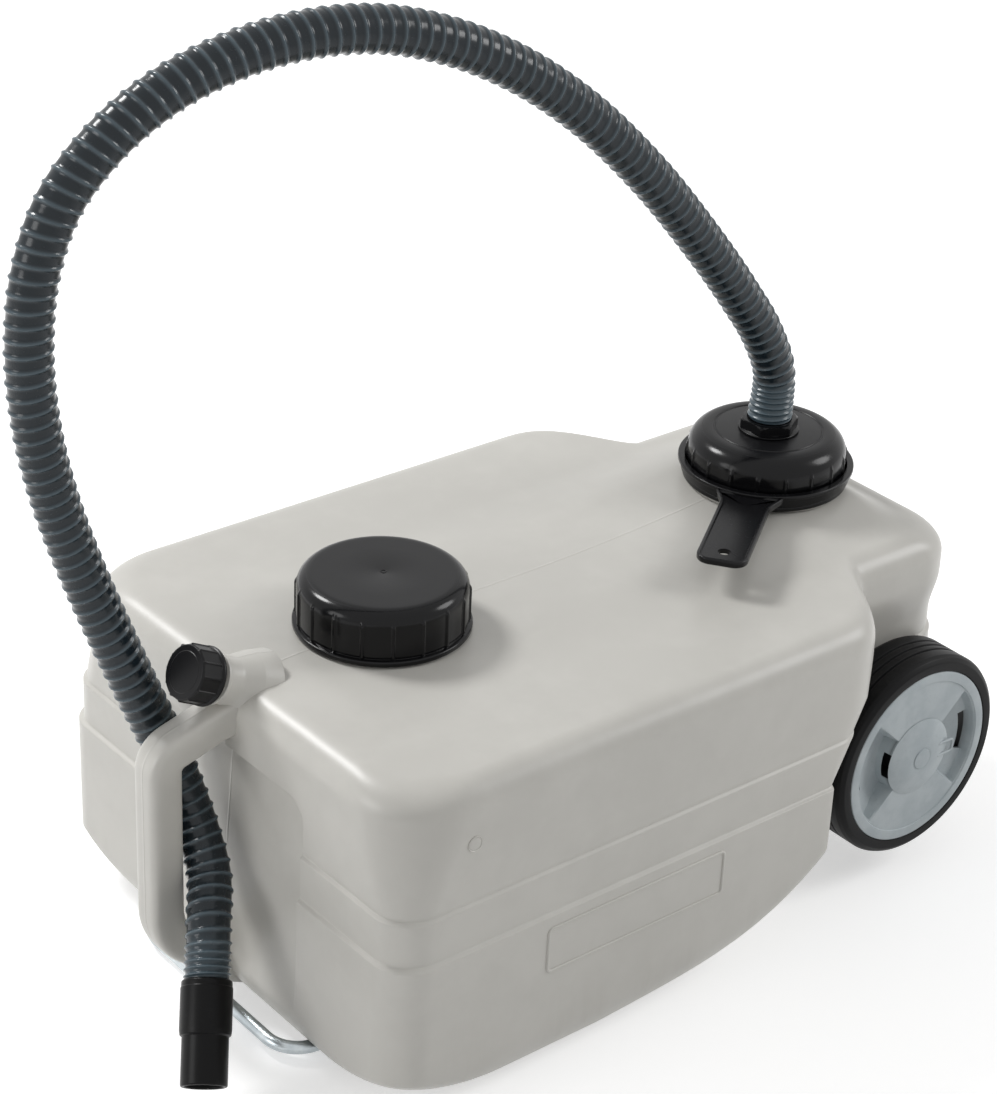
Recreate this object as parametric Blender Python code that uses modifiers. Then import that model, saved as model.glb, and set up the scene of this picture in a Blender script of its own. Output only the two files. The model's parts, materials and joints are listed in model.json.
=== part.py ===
# Portable waste water tank on two wheels, with a ribbed drain hose.
# Metres, +Z up. X runs from the carrying handle to the wheels, and Y = 0 is the mould's parting plane.
import math

import bmesh
import bpy
from mathutils import Matrix, Vector

GAP = 0.0003  # clearance left between two pieces that touch

# Tank shell
FRONT_X = -0.2280
REAR_X = 0.2790
HALF_WIDTH = 0.1750
TAIL_HALF_WIDTH = 0.1110
TOP_Z = 0.2193
TAIL_HIGH_HALF_WIDTH = 0.1170  # over the wheels the narrow part is a little wider
TAIL_WIDENS = (0.1580, 0.1900)
CROWN = 0.0022  # height of the top's middle over its edges
CROWN_RISE = 0.0086  # the crown's further climb to the hose cap
CROWN_RISE_START = -0.0100
CROWN_RISE_LENGTH = 0.1750
CROWN_FLAT = 0.0400
CROWN_SIDE = 0.0950
CROWN_FRONT_LENGTH = 0.0350
CROWN_REAR_LENGTH = 0.0254
CROWN_STRIPS = (0.62, 0.26)  # places of the crown's inner points, as shares of the half width
TAIL_FLOOR_Z = 0.0840
WALL = 0.0030
STEP_Z = 0.1150
STEP_DEPTH = 0.0025
CREASE_Z = 0.1440
CREASE_DEPTH = 0.0015
LEDGE = 0.0012
DRAFT = 0.0005
SHOULDER_RADIUS = 0.0180
BELLY_RADIUS = 0.0355
FRONT_CORNER_BOTTOM = 0.1000
FRONT_CORNER_LOW = 0.0250
FRONT_CORNER_HIGH = 0.0460
TAIL_CORNER = 0.0330
WAIST_LOW = (0.1058, 0.1307)
WAIST_HIGH = (0.1084, 0.1836)
ARCH_TOP_Z = 0.1640
ARCH_POWER = 0.63
WAIST_POWER = 1.82  # over the arch the waist curves gently at first and then steeply
BELLY_FLAT_END = 0.0850
BELLY_RISE_END = 0.1330
CHINE_START = -0.0677
CHINE_END = 0.1311
CHINE_LEAD = 0.153  # share of the chine's rise that is even, before the steep part
CHINE_INNER = 0.58  # where the flat middle ends, as a share of the half width
CHINE_SPREAD = 0.30
BELLY_STRIP = 0.62  # place of the belly's inner points, as a share of the half width
RECESS_DEPTH = 0.0055
RECESS_HALF_WIDTH = 0.0780
RECESS_TOP_Z = 0.1780
RECESS_BREAK_Z = 0.1100
RECESS_CORNER = 0.0150
RECESS_LEAN = 0.0050
FILLET_STEPS = 3
CORNER_STEPS = 4
WAIST_STEPS = 6
SIDE_STATIONS = (0.50, 0.70, 0.88, 1.0)

# Carrying handle, moulded with the shell
HANDLE_REACH = 0.2800
HANDLE_RADIUS = 0.0110
HANDLE_TOP_Z = 0.1865
HANDLE_LOW_Z = 0.0640
HANDLE_TOP_BEND = 0.0130
HANDLE_LOW_BEND = 0.0380
HANDLE_FOOT = (-0.2230, 0.0236)  # where the lower arm turns into the shell
HANDLE_FOOT_BEND = 0.0200
HANDLE_ROOT_X = -0.2080
HANDLE_LOW_END_X = -0.2000
HANDLE_ROOT_TOP_Z = 0.2038
HANDLE_ROOT_LOW_Z = 0.0150
HANDLE_TOP_FLARE = 1.20  # the bar widens by this where it runs into the shell
HANDLE_LOW_FLARE = 1.10

# Screw necks and caps
FILLER_X = -0.1108
FILLER_SEAT = 0.2225
HOSE_CAP_X = 0.2009
HOSE_SEAT = 0.2310
NECK_RADIUS = 0.0468
NECK_WALL = 0.0042
CAP_BORE_CLEARANCE = 0.0012
CAP_WALL = 0.0034
CAP_TOP_WALL = 0.0028
CAP_HEIGHT = 0.0340
CAP_EDGE_RADIUS = 0.0090
HOSE_CAP_EDGE_RADIUS = 0.0135
FLANGE_LIP = 0.0020
FLANGE_HEIGHT = 0.0036
RIB_COUNT = 18
RIB_PROUD = 0.0009
RIB_WIDTH = 0.0026
SEAL_THICKNESS = 0.0026
SEAL_WIDTH = 0.0075

# Vent
VENT_X = -0.2354
VENT_Z = 0.2279
VENT_TILT = math.radians(28.0)
VENT_CAP_RADIUS = 0.0168
VENT_CAP_LENGTH = 0.0175
VENT_NECK_RADIUS = 0.0135
VENT_NECK_WALL = 0.0028
VENT_CAP_TOP = 0.0026
VENT_SEAL = 0.0016
VENT_SEAL_WIDTH = 0.0050
VENT_PANELS = 12
VENT_EDGE = 0.0014

# Hose, gland and nozzle
HOSE_RADIUS = 0.0139
HOSE_VALLEY = 0.0128
HOSE_BORE = 0.0109
RIB_PITCH = 0.0130
END_RIB_PITCH = 0.0054
END_RIB_LENGTH = 0.0480
GLAND_THREAD_RADIUS = 0.0140
GLAND_BORE = 0.0115
NUT_ACROSS_CORNERS = 0.0388
NUT_HEIGHT = 0.0080
GLAND_FLANGE_RADIUS = 0.0215
GLAND_FLANGE_THICKNESS = 0.0030
GLAND_WASHER_THICKNESS = 0.0020
GLAND_TAIL = 0.0120
LOCKNUT_HEIGHT = 0.0060
CUFF_RADIUS = 0.0150
CUFF_LENGTH = 0.0320
TIP_RADIUS = 0.0138
TIP_LENGTH = 0.0290
NOZZLE_BORE = 0.0112
NOZZLE_STRAIGHT = 0.0300
RUBBER_EDGE = 0.0012

# Cap wrench
WRENCH_HEIGHT = 0.0090
WRENCH_WALL = 0.0024
WRENCH_LIP = 0.0022
WRENCH_LIP_HEIGHT = 0.0026
WRENCH_LIP_SLOPE = 0.0010
WRENCH_REACH = 0.1480
WRENCH_WIDTH = 0.0320
WRENCH_THICKNESS = 0.0044
WRENCH_HOLE = 0.0040
WRENCH_HOLE_FROM_END = 0.0140
WRENCH_CORNER = 0.0090
WRENCH_NECK = 0.0100
WRENCH_FLARE = 0.0060
WRENCH_SINK = 0.0010
WRENCH_ANGLE = math.radians(215.5)

# Wheels and axle
AXLE_X = 0.2095
AXLE_Z = 0.0886
AXLE_RADIUS = 0.0050
TYRE_RADIUS = 0.0705
TYRE_WIDTH = 0.0380
RIM_RADIUS = 0.0602
RIM_WELL = 0.0560
RIM_LIP = 0.0030
RIM_BARREL = 0.0035
HUB_RADIUS = 0.0110
HUB_BORE_CLEARANCE = 0.00015
HUB_SINK = 0.0045
POCKET_DEPTH = 0.0115
WEB_THICKNESS = 0.0028
FACE_SINK = 0.0008
POCKET_SPREAD = 84.0
SLOT_SPREAD = 34.0
SLOT_INNER = 0.0452
SLOT_OUTER = 0.0515
WHEEL_SIDE_GAP = 0.0028
SPACER_RADIUS = 0.0095
LOCK_RADIUS = 0.0085
LOCK_THICKNESS = 0.0012
HUB_CAP_RADIUS = 0.0270
HUB_CAP_HEIGHT = 0.0046
HUB_CAP_DISC = 0.0068
HUB_CAP_SKIRT = 0.0018
HUB_CAP_STEP = 0.0007
HUB_CAP_HOLD = 0.0020
AXLE_CHAMFER = 0.0006
TREAD_GROOVES = 3
TREAD_GROOVE_DEPTH = 0.0014
TREAD_GROOVE_HALF_WIDTH = 0.0012
TREAD_EDGE = 0.0045
TYRE_CROWN_DROP = 0.0013
TYRE_CROWN_SIDE = 0.0020
TYRE_SIDE_DROP = 0.0040

# Axle straps
STRAP_Y = 0.0600
STRAP_WIDTH = 0.0180
STRAP_LENGTH = 0.0420
STRAP_THICKNESS = 0.0020

# Tow handle, a bent rod that slides in two channels of the belly
ROD_RADIUS = 0.0040
ROD_Z = 0.0075
LEG_Y = 0.0810
CROSSBAR_X = -0.2345
ROD_BEND = 0.0220
LEG_END_X = 0.0780
COLLAR_RADIUS = 0.0060
COLLAR_LENGTH = 0.0100
CHANNEL_CLEARANCE = 0.0010
CHANNEL_END_ROOM = 0.0040
GUIDE_FRONT_X = -0.1560
GUIDE_REAR_X = 0.0600
GUIDE_LENGTH = 0.0160
GUIDE_WIDTH = 0.0400
GUIDE_THICKNESS = 0.0020

# Screws
SCREW_RADIUS = 0.0016
SCREW_LENGTH = 0.0080
SCREW_HEAD_RADIUS = 0.0030
SCREW_HEAD_HEIGHT = 0.0009
SCREW_FROM_EDGE = 0.0015

for old in list(bpy.data.objects):
    bpy.data.objects.remove(old)

partsGroup = bpy.data.collections.new("waste_water_tank")
cutterGroup = bpy.data.collections.new("cutters")
bpy.context.scene.collection.children.link(partsGroup)
bpy.context.scene.collection.children.link(cutterGroup)


def material(name, colour, roughness, metallic=0.0):
    made = bpy.data.materials.new(name)
    made.use_nodes = True
    shader = made.node_tree.nodes["Principled BSDF"]
    shader.inputs["Base Color"].default_value = (*colour, 1.0)
    shader.inputs["Roughness"].default_value = roughness
    shader.inputs["Metallic"].default_value = metallic
    made.diffuse_color = (*colour, 1.0)
    return made


greyPlastic = material("grey_tank_plastic", (0.57, 0.55, 0.50), 0.45)
blackPlastic = material("black_cap_plastic", (0.012, 0.012, 0.013), 0.32)
blackRubber = material("black_rubber", (0.020, 0.020, 0.021), 0.75)
sealRubber = material("seal_rubber", (0.045, 0.045, 0.048), 0.80)
hosePlastic = material("blue_grey_hose_plastic", (0.055, 0.085, 0.105), 0.28)
rimPlastic = material("blue_grey_rim_plastic", (0.22, 0.26, 0.29), 0.42)
zincSteel = material("zinc_plated_steel", (0.55, 0.57, 0.60), 0.30, 1.0)


def keep(obj, finish):
    """Puts a finished piece in the object's own collection and gives it its material."""
    obj.data.materials.clear()
    obj.data.materials.append(finish)
    partsGroup.objects.link(obj)
    return obj


def tool(obj):
    """Puts a cutter, or a shape that is joined on, in the cutters' collection."""
    obj.hide_render = True
    obj.display_type = "WIRE"
    cutterGroup.objects.link(obj)
    return obj


def mesh_object(name, verts, edges, faces):
    mesh = bpy.data.meshes.new(name)
    mesh.from_pydata(verts, edges, faces)
    return bpy.data.objects.new(name, mesh)


def box(name, low, high):
    """A box between two corners."""
    shape = bmesh.new()
    bmesh.ops.create_cube(shape, size=1.0)
    size = [h - l for l, h in zip(low, high)]
    centre = [(h + l) / 2 for l, h in zip(low, high)]
    bmesh.ops.scale(shape, vec=size, verts=shape.verts)
    bmesh.ops.translate(shape, vec=centre, verts=shape.verts)
    return bmesh_object(name, shape)


def bmesh_object(name, shape):
    mesh = bpy.data.meshes.new(name)
    shape.to_mesh(mesh)
    shape.free()
    return bpy.data.objects.new(name, mesh)


def cylinder(name, radius, start, end, sides=24):
    """A closed cylinder from one point to another."""
    start, end = Vector(start), Vector(end)
    shape = bmesh.new()
    bmesh.ops.create_cone(
        shape, cap_ends=True, segments=sides, radius1=radius, radius2=radius, depth=(end - start).length
    )
    turn = (end - start).to_track_quat("Z", "Y").to_matrix().to_4x4()
    bmesh.ops.transform(shape, matrix=Matrix.Translation((start + end) / 2) @ turn, verts=shape.verts)
    return bmesh_object(name, shape)


def turned(name, profile, place=(0, 0, 0), turn=(0, 0, 0), steps=36, closed=True):
    """A turned piece: its (radius, height) profile runs top to bottom on the outer side."""
    verts = [(radius, 0.0, height) for radius, height in profile]
    edges = [(i, i + 1) for i in range(len(verts) - 1)]
    if closed:
        edges.append((len(verts) - 1, 0))
    obj = mesh_object(name, verts, edges, [])
    screw = obj.modifiers.new("turn", "SCREW")
    screw.axis = "Z"
    screw.steps = steps
    screw.render_steps = steps
    screw.use_merge_vertices = True
    screw.merge_threshold = 0.000001
    obj.location = place
    obj.rotation_euler = turn
    return obj


def boolean(obj, other, operation):
    change = obj.modifiers.new(operation.lower(), "BOOLEAN")
    change.operation = operation
    change.object = other
    change.solver = "EXACT"
    return obj


def cut(obj, *others):
    for other in others:
        boolean(obj, other, "DIFFERENCE")
    return obj


def join(obj, *others):
    for other in others:
        boolean(obj, other, "UNION")
    return obj


def chamfer(obj, width, angle=40.0):
    edge = obj.modifiers.new("edge", "BEVEL")
    edge.width = width
    edge.segments = 1
    edge.limit_method = "ANGLE"
    edge.angle_limit = math.radians(angle)
    return obj


def smooth(t):
    """Eased step from 0 to 1."""
    t = min(max(t, 0.0), 1.0)
    return t * t * (3.0 - 2.0 * t)


def mix(a, b, t):
    return a + (b - a) * t


def rounded(corners, radii, steps):
    """A path through corners in one plane, with arcs at its inner corners; a radius of 0 keeps one sharp."""
    corners = [Vector(corner) for corner in corners]
    path = [corners[0]]
    for before, corner, after, radius in zip(corners, corners[1:], corners[2:], radii):
        if radius == 0:
            path.append(corner)
            continue
        back = (before - corner).normalized()
        on = (after - corner).normalized()
        half = back.angle(on) / 2
        centre = corner + (back + on).normalized() * (radius / math.sin(half))
        start = corner + back * (radius / math.tan(half)) - centre
        end = corner + on * (radius / math.tan(half)) - centre
        sweep = start.angle(end)
        for step in range(steps + 1):
            turn = sweep * step / steps
            path.append(centre + (start * math.sin(sweep - turn) + end * math.sin(turn)) / math.sin(sweep))
    path.append(corners[-1])
    return path


# Tank shell: a loft of plan outlines, one for each height, each drawn from the same driving sizes.
SIDE_TOP_Z = TOP_Z - SHOULDER_RADIUS
SHOULDER_INSET = STEP_DEPTH + CREASE_DEPTH + DRAFT


def level_inset(z):
    """How far the wall stands inside the widest outline at this height of the straight sides."""
    if z < STEP_Z:
        return 0.0
    if z < CREASE_Z:
        return STEP_DEPTH
    climb = (z - CREASE_Z) / (SIDE_TOP_Z - CREASE_Z)
    return STEP_DEPTH + CREASE_DEPTH + DRAFT * climb


def floor_height(x, y):
    """Height of the belly: flat in front, then rising to the tail, and sooner along the sides."""
    middle = smooth((x - BELLY_FLAT_END) / (BELLY_RISE_END - BELLY_FLAT_END))
    run = min(max((x - CHINE_START) / (CHINE_END - CHINE_START), 0.0), 1.0)
    side = mix(run**4, run, CHINE_LEAD)
    toSide = smooth((abs(y) / HALF_WIDTH - CHINE_INNER) / CHINE_SPREAD)
    return TAIL_FLOOR_Z * mix(middle, side, toSide)


def top_height(x, y):
    """Height of the top: level along its edges, crowned along its middle and higher under the hose cap."""
    climb = min(max((x - CROWN_RISE_START) / CROWN_RISE_LENGTH, 0.0), 1.0) ** 2
    edge = SHOULDER_INSET + SHOULDER_RADIUS
    toSide = smooth((abs(y) - CROWN_FLAT) / (CROWN_SIDE - CROWN_FLAT))
    toFront = smooth((FRONT_X + edge + CROWN_FRONT_LENGTH - x) / CROWN_FRONT_LENGTH)
    toRear = smooth((x - REAR_X + edge + CROWN_REAR_LENGTH) / CROWN_REAR_LENGTH)
    return TOP_Z + (CROWN + CROWN_RISE * climb) * (1 - toSide) * (1 - toFront) * (1 - toRear)


def half_outline(z, inset):
    """Points of the outline from the front's middle round the +Y side to the rear's middle."""
    high = min(max((z - CREASE_Z) / (SIDE_TOP_Z - CREASE_Z), 0.0), 1.0)
    low = max(1.0 - z / BELLY_RADIUS, 0.0)
    corner = mix(FRONT_CORNER_LOW, FRONT_CORNER_HIGH, high) + (FRONT_CORNER_BOTTOM - FRONT_CORNER_LOW) * low
    arch = min(max((z - STEP_Z - LEDGE) / (ARCH_TOP_Z - STEP_Z - LEDGE), 0.0), 1.0) ** ARCH_POWER
    waistStart = mix(WAIST_LOW[0], WAIST_HIGH[0], arch)
    waistEnd = mix(WAIST_LOW[1], WAIST_HIGH[1], arch)
    front = FRONT_X + inset
    rear = REAR_X - inset
    wide = HALF_WIDTH - inset
    widening = smooth((z - TAIL_WIDENS[0]) / (TAIL_WIDENS[1] - TAIL_WIDENS[0]))
    narrow = mix(TAIL_HALF_WIDTH, TAIL_HIGH_HALF_WIDTH, widening) - inset
    points = [(front, 0.0), (front, (wide - corner) / 2)]
    for step in range(CORNER_STEPS + 1):
        angle = math.pi / 2 * step / CORNER_STEPS
        points.append((front + corner * (1 - math.cos(angle)), wide - corner * (1 - math.sin(angle))))
    sideStart = front + corner
    for share in SIDE_STATIONS:
        points.append((mix(sideStart, waistStart, share), wide))
    for step in range(1, WAIST_STEPS + 1):
        share = step / WAIST_STEPS
        across = smooth(share ** mix(1.0, WAIST_POWER, arch))
        points.append((mix(waistStart, waistEnd, share), mix(wide, narrow, across)))
    for step in range(CORNER_STEPS):
        angle = math.pi / 2 * step / CORNER_STEPS
        across = narrow - TAIL_CORNER * (1 - math.cos(angle))
        points.append((rear - TAIL_CORNER * (1 - math.sin(angle)), across))
    points.append((rear, narrow - TAIL_CORNER))
    points.append((rear, 0.0))
    return points


def placed(x, y, z):
    """A point of the straight-sided form, moved to the real height of the belly."""
    if z > STEP_Z:
        return (x, y, z)
    low = floor_height(x, y)
    return (x, y, low + z * (1.0 - low / STEP_Z))


def tank_form(name):
    """The closed outer form of the tank."""
    levels = []
    for step in range(FILLET_STEPS):
        angle = math.pi / 2 * step / FILLET_STEPS
        levels.append((BELLY_RADIUS * (1 - math.cos(angle)), BELLY_RADIUS * (1 - math.sin(angle))))
    levels.append((BELLY_RADIUS, 0.0))
    walls = (STEP_Z - LEDGE, STEP_Z + LEDGE, CREASE_Z - LEDGE, CREASE_Z + LEDGE, ARCH_TOP_Z, TAIL_WIDENS[1])
    for z in walls:
        levels.append((z, level_inset(z)))
    for step in range(FILLET_STEPS + 1):
        angle = math.pi / 2 * step / FILLET_STEPS
        inset = SHOULDER_INSET + SHOULDER_RADIUS * (1 - math.cos(angle))
        levels.append((SIDE_TOP_Z + SHOULDER_RADIUS * math.sin(angle), inset))
    shape = bmesh.new()
    rings = []
    for z, inset in levels:
        half = half_outline(z, inset)
        ring = [shape.verts.new(placed(x, y, z)) for x, y in half]
        ring += [shape.verts.new(placed(x, -y, z)) for x, y in reversed(half[1:-1])]
        rings.append(ring)
    count = len(rings[0])
    for lower, upper in zip(rings, rings[1:]):
        for i in range(count):
            j = (i + 1) % count
            shape.faces.new((lower[i], upper[i], upper[j], lower[j]))
    close_form(shape, rings[0], (BELLY_STRIP,), floor_height)
    close_form(shape, rings[-1], CROWN_STRIPS, top_height)
    bmesh.ops.recalc_face_normals(shape, faces=shape.faces)
    bmesh.ops.triangulate(shape, faces=shape.faces)
    return bmesh_object(name, shape)


def drawn_in(name, form, distance):
    """The same form with all its faces moved inwards by one distance."""
    shape = bmesh.new()
    shape.from_mesh(form.data)
    shape.normal_update()
    moves = [vert.normal * (distance * vert.calc_shell_factor()) for vert in shape.verts]
    for vert, move in zip(shape.verts, moves):
        vert.co -= move
    return bmesh_object(name, shape)


def close_form(shape, ring, shares, height):
    """Closes the first or last outline with strips across it, whose inner points lie at the height given."""
    half = len(ring) // 2
    front = 2
    previous = [ring[-i] for i in range(front, 0, -1)] + [ring[i] for i in range(front + 1)]
    for station in range(front + 1, half):
        end, mate = ring[station], ring[-station]
        row = [mate]
        for share in [-s for s in shares] + list(reversed(shares)):
            x, y = end.co.x, end.co.y * share
            row.append(shape.verts.new((x, y, height(x, y))))
        row.append(end)
        if station == half - 1:
            row = [mate, ring[half], end]
        if len(row) == len(previous) and station > front + 1:
            for i in range(len(row) - 1):
                shape.faces.new((previous[i], previous[i + 1], row[i + 1], row[i]))
        else:
            shape.faces.new(previous + list(reversed(row)))
        previous = row


def recess_cutter():
    """The shallow place behind the grip: square-shouldered at its top, and fading out towards the belly."""
    corner = RECESS_HALF_WIDTH - RECESS_CORNER
    rows = []
    for step in range(5):
        angle = math.pi / 2 * step / 4
        y = corner + RECESS_CORNER * math.sin(angle)
        rows.append((RECESS_TOP_Z - RECESS_CORNER * (1 - math.cos(angle)), y))
    rows += [(RECESS_BREAK_Z, RECESS_HALF_WIDTH), (BELLY_RADIUS, RECESS_HALF_WIDTH)]
    shape = bmesh.new()
    rings = []
    for z, y in rows:
        if z > RECESS_BREAK_Z:
            lean = (z - RECESS_BREAK_Z) / (RECESS_TOP_Z - RECESS_BREAK_Z)
            back = FRONT_X + RECESS_DEPTH + RECESS_LEAN * lean
        else:
            back = FRONT_X + RECESS_DEPTH * (z - BELLY_RADIUS) / (RECESS_BREAK_Z - BELLY_RADIUS) - GAP
        out = FRONT_X - RECESS_DEPTH
        rings.append([shape.verts.new((x, w, z)) for x, w in ((out, -y), (back, -y), (back, y), (out, y))])
    for upper, lower in zip(rings, rings[1:]):
        for i in range(4):
            shape.faces.new((upper[i], upper[(i + 1) % 4], lower[(i + 1) % 4], lower[i]))
    shape.faces.new(rings[0])
    shape.faces.new(rings[-1])
    bmesh.ops.recalc_face_normals(shape, faces=shape.faces)
    return tool(bmesh_object("recess", shape))


def handle_form():
    """The carrying handle: a round bar bent in the parting plane, with both ends inside the shell's wall."""
    grip = -HANDLE_REACH + HANDLE_RADIUS
    corners = [
        (HANDLE_ROOT_X, HANDLE_ROOT_TOP_Z),
        (grip, HANDLE_TOP_Z),
        (grip, HANDLE_LOW_Z),
        HANDLE_FOOT,
        (HANDLE_LOW_END_X, HANDLE_ROOT_LOW_Z),
    ]
    path = rounded(corners, (HANDLE_TOP_BEND, HANDLE_LOW_BEND, HANDLE_FOOT_BEND), 3)
    points = [(x, 0.0, z) for x, z in path]
    flare = [HANDLE_TOP_FLARE] + [1.0] * (len(path) - 2) + [HANDLE_LOW_FLARE]
    return tube("handle", points, [HANDLE_RADIUS * wide for wide in flare], 3)


def meshed(name, obj):
    """A curve object made into a closed mesh object."""
    bpy.context.scene.collection.objects.link(obj)
    graph = bpy.context.evaluated_depsgraph_get()
    mesh = bpy.data.meshes.new_from_object(obj.evaluated_get(graph))
    shape = bmesh.new()
    shape.from_mesh(mesh)
    bmesh.ops.remove_doubles(shape, verts=shape.verts, dist=0.000001)
    bmesh.ops.recalc_face_normals(shape, faces=shape.faces)
    shape.to_mesh(mesh)
    shape.free()
    place = obj.matrix_world.copy()
    bpy.data.objects.remove(obj)
    made = bpy.data.objects.new(name, mesh)
    made.matrix_world = place
    return made


def tube(name, points, radii, sides):
    curve = bpy.data.curves.new(name, "CURVE")
    curve.dimensions = "3D"
    curve.bevel_depth = 1.0
    curve.bevel_resolution = sides
    curve.use_fill_caps = True
    line = curve.splines.new("POLY")
    line.points.add(len(points) - 1)
    for point, place, radius in zip(line.points, points, radii):
        point.co = (*place, 1.0)
        point.radius = radius
    return meshed(name, bpy.data.objects.new(name, curve))


CAP_STEPS = 28
CAP_BORE = NECK_RADIUS + CAP_BORE_CLEARANCE
CAP_RADIUS = CAP_BORE + CAP_WALL
SEAL_OUTER = CAP_BORE - GAP
SEAL_INNER = SEAL_OUTER - SEAL_WIDTH


def seal_seat(edge):
    """Height inside a cap where its seal is pressed, a wall's thickness under its rounded edge."""
    return CAP_HEIGHT - edge * (1 - math.sin(math.acos(1 - CAP_WALL / edge))) - CAP_WALL


def neck_height(edge):
    return seal_seat(edge) - SEAL_THICKNESS - 2 * GAP


capPlaces = [
    ("filler", FILLER_X, FILLER_SEAT, CAP_EDGE_RADIUS),
    ("hose", HOSE_CAP_X, HOSE_SEAT, HOSE_CAP_EDGE_RADIUS),
]
ventAxis = Vector((-math.cos(VENT_TILT), 0.0, math.sin(VENT_TILT)))
ventBase = Vector((VENT_X, 0.0, VENT_Z))
VENT_NECK_END = VENT_CAP_LENGTH - VENT_CAP_TOP - VENT_SEAL - 2 * GAP
VENT_ROOT = 0.0460
VENT_BORE_ROOT = 0.0400
CHANNEL_HALF = COLLAR_RADIUS + CHANNEL_CLEARANCE
CHANNEL_TOP = ROD_Z + COLLAR_RADIUS + CHANNEL_CLEARANCE
POCKET_TOP = ROD_Z - ROD_RADIUS
CHANNEL_END_X = LEG_END_X + CHANNEL_END_ROOM
GUIDE_TOP = POCKET_TOP - GAP
GUIDE_SCREW_OFFSET = GUIDE_WIDTH / 2 - SCREW_HEAD_RADIUS - SCREW_FROM_EDGE
STRAP_TOP = min(AXLE_Z - AXLE_RADIUS, TAIL_FLOOR_Z) - GAP
STRAP_SCREW_OFFSET = STRAP_LENGTH / 2 - SCREW_HEAD_RADIUS - SCREW_FROM_EDGE

guidePlaces = [
    (name, x, side)
    for name, x in (("front", GUIDE_FRONT_X), ("rear", GUIDE_REAR_X))
    for side in (-1, 1)
]
screwPlaces = []
for name, x, side in guidePlaces:
    for offset, which in ((-1, "inner"), (1, "outer")):
        y = side * (LEG_Y + offset * GUIDE_SCREW_OFFSET)
        hand = "right" if side < 0 else "left"
        title = f"{name}_guide_screw_{hand}_{which}"
        screwPlaces.append((title, x, y, GUIDE_TOP - GUIDE_THICKNESS, POCKET_TOP))
for side in (-1, 1):
    for offset, which in ((-1, "front"), (1, "rear")):
        hand = "right" if side < 0 else "left"
        screwPlaces.append(
            (
                f"axle_strap_screw_{hand}_{which}",
                AXLE_X + offset * STRAP_SCREW_OFFSET,
                side * STRAP_Y,
                STRAP_TOP - STRAP_THICKNESS,
                TAIL_FLOOR_Z,
            )
        )


def screw_hole(name, x, y, low, high):
    return tool(cylinder(name, SCREW_RADIUS + GAP, (x, y, low), (x, y, high), 8))


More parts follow.
